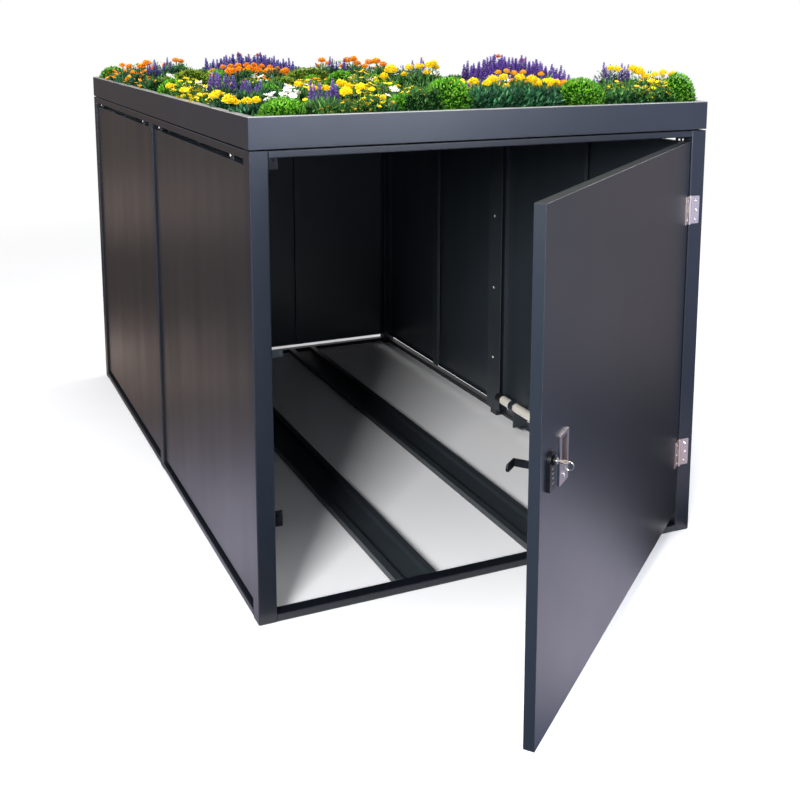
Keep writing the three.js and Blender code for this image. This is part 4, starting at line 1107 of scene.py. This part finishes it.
def floor_material():
    """Pale paper, lit near the object and evenly white far from it, so that no horizon shows."""
    k = Nodes("floor_material")
    n = k.noise(0.8, 3.0)
    k.link(k.ramp(n, [(0.3, (0.83, 0.83, 0.84)), (0.7, (0.87, 0.87, 0.88))]), k.bsdf.inputs["Base Color"])
    k.set(Roughness=0.7)
    k.bsdf.inputs["Specular IOR Level"].default_value = 0.2
    far = k.new("ShaderNodeVectorMath", operation="LENGTH")
    k.link(k.coord, far.inputs[0])
    glow = k.new("ShaderNodeEmission")
    glow.inputs["Color"].default_value = (1, 1, 1, 1)
    glow.inputs["Strength"].default_value = 1.0
    mix = k.new("ShaderNodeMixShader")
    k.link(k.span(far.outputs["Value"], 0.0, 1.0, 2.6, 6.5), mix.inputs[0])
    k.link(k.bsdf.outputs[0], mix.inputs[1])
    k.link(glow.outputs[0], mix.inputs[2])
    k.link(mix.outputs[0], k.out.inputs["Surface"])
    return k.mat


stage_plane("floor", -40, 40, -40, 40, -0.0015, floor_material())


def smooth(v, lo, hi):
    t = np.clip((v - lo) / (hi - lo), 0.0, 1.0)
    return t * t * (3 - 2 * t)


def floor_tone(x, y):
    """Painted reflection: the tones of an emitting sheet that stands for the studio floor in the gloss of the coat:
    pale in front of the door, cool and dim in front of the frame, warm and dim at the sides.
    """
    warm, pale = np.array([0.135, 0.112, 0.105]), np.array([0.95, 0.90, 1.12])
    cool = np.array([0.17, 0.26, 0.46]) + smooth(x, 0.3, 2.5)[:, None] * np.array([0.11, 0.07, 0.06])
    ahead = smooth(-y, 0.0, 0.5)[:, None]
    run = np.hypot(x + 0.3, y)
    c = warm * (1 - ahead) + cool * ahead * np.interp(run, [0.0, 0.5, 1.2, 2.4, 4.8, 9.0, 16.0], [0.3, 0.5, 1.2, 1.4, 2.4, 3.4, 3.7])[:, None]
    # beside the left panels, painted reflection in soft bright bands, most of all at the front
    band = np.interp(y, [-0.2, 0.3, 0.75, 1.0, 1.3, 1.65, 2.1, 2.6, 3.1, 3.6, 4.3, 5.0, 5.8, 7.3, 8.6, 10.0, 12.0, 16.0],
                     [0.50, 0.84, 0.66, 0.42, 0.30, 0.24, 0.34, 0.58, 0.30, 0.13, 0.10, 0.10, 0.24, 0.38, 0.22, 0.14, 0.15, 0.16])
    band = band * (1 - 0.75 * smooth(-x, 0.84, 1.10) * (1 - smooth(y, 3.0, 4.0)) * smooth(y, 2.0, 2.4))
    off = smooth(-x, 0.60, 0.70) * smooth(y, -0.3, 0.0)
    near = (1 - smooth(y, 0.8, 2.0))[:, None]
    c = c * (1 - off[:, None]) + (off * band)[:, None] * (near * np.array([0.98, 0.92, 1.15]) + (1 - near) * np.array([1.24, 0.97, 0.86]))
    # painted reflection on the right: dark close to the hinges, then dim and warm
    right = smooth(x, 0.60, 0.75) * smooth(y, -0.35, -0.10)
    reach = np.hypot(x - 0.6, y)
    swing = 1.45 - 1.8 * np.arctan2(np.maximum(y, 0.0), np.maximum(x - 0.6, 0.01))
    side = ((0.050 + 0.27 * smooth(reach, 1.1, 2.1) + 0.012 * np.minimum(reach, 10.0)) * np.clip(swing, 0.4, 1.3))[:, None] * np.array([1.04, 0.92, 0.97])
    c = c * (1 - right[:, None]) + side * right[:, None]
    # painted reflection of pale paper in front of the open door
    lit = smooth(x, -0.38, 0.05) * (1 - smooth(x, 0.95, 1.45)) * smooth(-y, 0.14, 0.34) * (1 - smooth(-y, 1.1, 2.2))
    c = c * (1 - lit[:, None]) + pale * lit[:, None]
    return c


def reflection_floor():
    """An emitting sheet, no lamp, that lies on the paper and shows only in reflections: a painted reflection of the
    floor.
    """
    out = [0.74, 0.80, 0.87, 0.95, 1.05, 1.2, 1.4, 1.7, 2.1, 2.6, 3.2, 4.0, 5.0, 6.4, 8.0, 10.0, 14.0, 20.0, 40.0]
    xs = [-v for v in reversed(out)] + list(np.linspace(-0.69, 0.69, 15)) + out
    ys = [-v for v in reversed(out)] + [-0.60, -0.48, -0.38, -0.30, -0.22, -0.14, -0.06] + list(np.linspace(0.1, 2.1, 11)) + [2.30] + [2.3 + v - 0.69 for v in out]
    gx, gy = np.meshgrid(xs, ys)
    col = floor_tone(gx.ravel(), gy.ravel())
    nx = len(xs)
    faces = []
    for j in range(len(ys) - 1):
        for i in range(nx - 1):
            if abs(xs[i] + xs[i + 1]) / 2 < 0.69 and -0.06 <= ys[j] and ys[j + 1] <= 2.301:
                continue
            faces.append((j * nx + i, j * nx + i + 1, (j + 1) * nx + i + 1, (j + 1) * nx + i))
    k = Nodes("reflection_floor_material")
    k.tree.nodes.remove(k.bsdf)
    e = k.new("ShaderNodeEmission")
    k.link(k.new("ShaderNodeAttribute", attribute_name="tone").outputs["Color"], e.inputs["Color"])
    k.link(k.span(k.noise(0.9, 2.0), 0.8, 1.2, 0.3, 0.7), e.inputs["Strength"])
    k.link(e.outputs[0], k.out.inputs["Surface"])
    me = bpy.data.meshes.new("reflection_floor")
    me.from_pydata([(a, b, 0.004) for a, b in zip(gx.ravel(), gy.ravel())], [], faces)
    at_ = me.color_attributes.new("tone", "FLOAT_COLOR", "POINT")
    at_.data.foreach_set("color", np.hstack([col, np.ones((len(col), 1))]).astype(np.float32).ravel())
    me.materials.append(k.mat)
    o = bpy.data.objects.new("reflection_floor", me)
    SCENE.collection.objects.link(o)
    o.visible_camera = False
    o.visible_diffuse = False
    o.visible_shadow = False
    o.visible_transmission = False


reflection_floor()


def area(name, at_, aim, size, power, colour=(1, 1, 1)):
    d = bpy.data.lights.new(name, "AREA")
    d.shape = "RECTANGLE"
    d.size, d.size_y = size
    d.energy = power
    d.color = colour
    o = bpy.data.objects.new(name, d)
    o.location = at_
    o.rotation_euler = (Vector(aim) - Vector(at_)).to_track_quat("-Z", "Y").to_euler()
    SCENE.collection.objects.link(o)
    return o


area("key_front", (2.0, -6.0, 1.95), (0, 0, 0.9), (1.6, 2.4), 225, (0.76, 0.82, 1.0))
area("key_left", (-4.3, -4.6, 2.9), (0.2, 0.8, 0.2), (1.8, 1.8), 780)
area("bay", (-0.35, -2.0, 0.35), (0.1, 1.6, 0.85), (0.7, 0.7), 20, (0.85, 0.95, 1.0))
for light in bpy.data.objects:
    if light.name == "bay":
        light.visible_camera = light.visible_glossy = False
area("top", (0.0, 0.6, 5.2), (0, 0.6, 0), (5.0, 5.0), 150)
area("right", (6.0, 2.6, 3.4), (0.3, 1.0, 0.5), (3.0, 3.0), 210)
area("left", (-6.5, 1.0, 3.2), (0, 1.0, 0.8), (3.0, 3.0), 90)


def world():
    w = bpy.data.worlds.new("world")
    SCENE.world = w
    w.use_nodes = True
    t = w.node_tree
    t.nodes.clear()
    out = t.nodes.new("ShaderNodeOutputWorld")
    mix = t.nodes.new("ShaderNodeMixShader")
    path = t.nodes.new("ShaderNodeLightPath")
    white = t.nodes.new("ShaderNodeBackground")
    white.inputs["Color"].default_value = (1, 1, 1, 1)
    white.inputs["Strength"].default_value = 1.0
    room = t.nodes.new("ShaderNodeBackground")
    coord = t.nodes.new("ShaderNodeTexCoord")
    sep = t.nodes.new("ShaderNodeSeparateXYZ")
    ramp = t.nodes.new("ShaderNodeValToRGB")
    t.links.new(coord.outputs["Generated"], sep.inputs[0])
    t.links.new(sep.outputs["Z"], ramp.inputs["Fac"])
    e = ramp.color_ramp.elements
    e[0].position, e[0].color = 0.02, (0.135, 0.125, 0.125, 1)
    e[1].position, e[1].color = 0.80, (0.95, 0.96, 1.0, 1)
    low = ramp.color_ramp.elements.new(0.28)
    low.color = (0.24, 0.235, 0.24, 1)
    # a pale backdrop, low behind the object
    def calc(op, a, b, clamp=False):
        n = t.nodes.new("ShaderNodeMath")
        n.operation, n.use_clamp = op, clamp
        for sock, v in ((n.inputs[0], a), (n.inputs[1], b)):
            if isinstance(v, (int, float)):
                sock.default_value = v
            else:
                t.links.new(v, sock)
        return n.outputs[0]
    towards = calc("MULTIPLY", calc("SUBTRACT", calc("ADD", sep.outputs["Y"], calc("MULTIPLY", sep.outputs["X"], 0.35)), 0.55), 3.0, True)
    low_down = calc("SUBTRACT", 1.0, calc("MULTIPLY", calc("SUBTRACT", sep.outputs["Z"], 0.06), 5.0, True), True)
    up = calc("MULTIPLY", sep.outputs["Z"], 60.0, True)
    glow = t.nodes.new("ShaderNodeMix")
    glow.data_type = "RGBA"
    t.links.new(calc("MULTIPLY", calc("MULTIPLY", towards, low_down), up), glow.inputs[0])
    t.links.new(ramp.outputs["Color"], glow.inputs[6])
    glow.inputs[7].default_value = (0.95, 0.93, 0.93, 1)
    t.links.new(glow.outputs[2], room.inputs["Color"])
    room.inputs["Strength"].default_value = 0.8
    t.links.new(path.outputs["Is Camera Ray"], mix.inputs[0])
    t.links.new(room.outputs[0], mix.inputs[1])
    t.links.new(white.outputs[0], mix.inputs[2])
    t.links.new(mix.outputs[0], out.inputs["Surface"])


world()
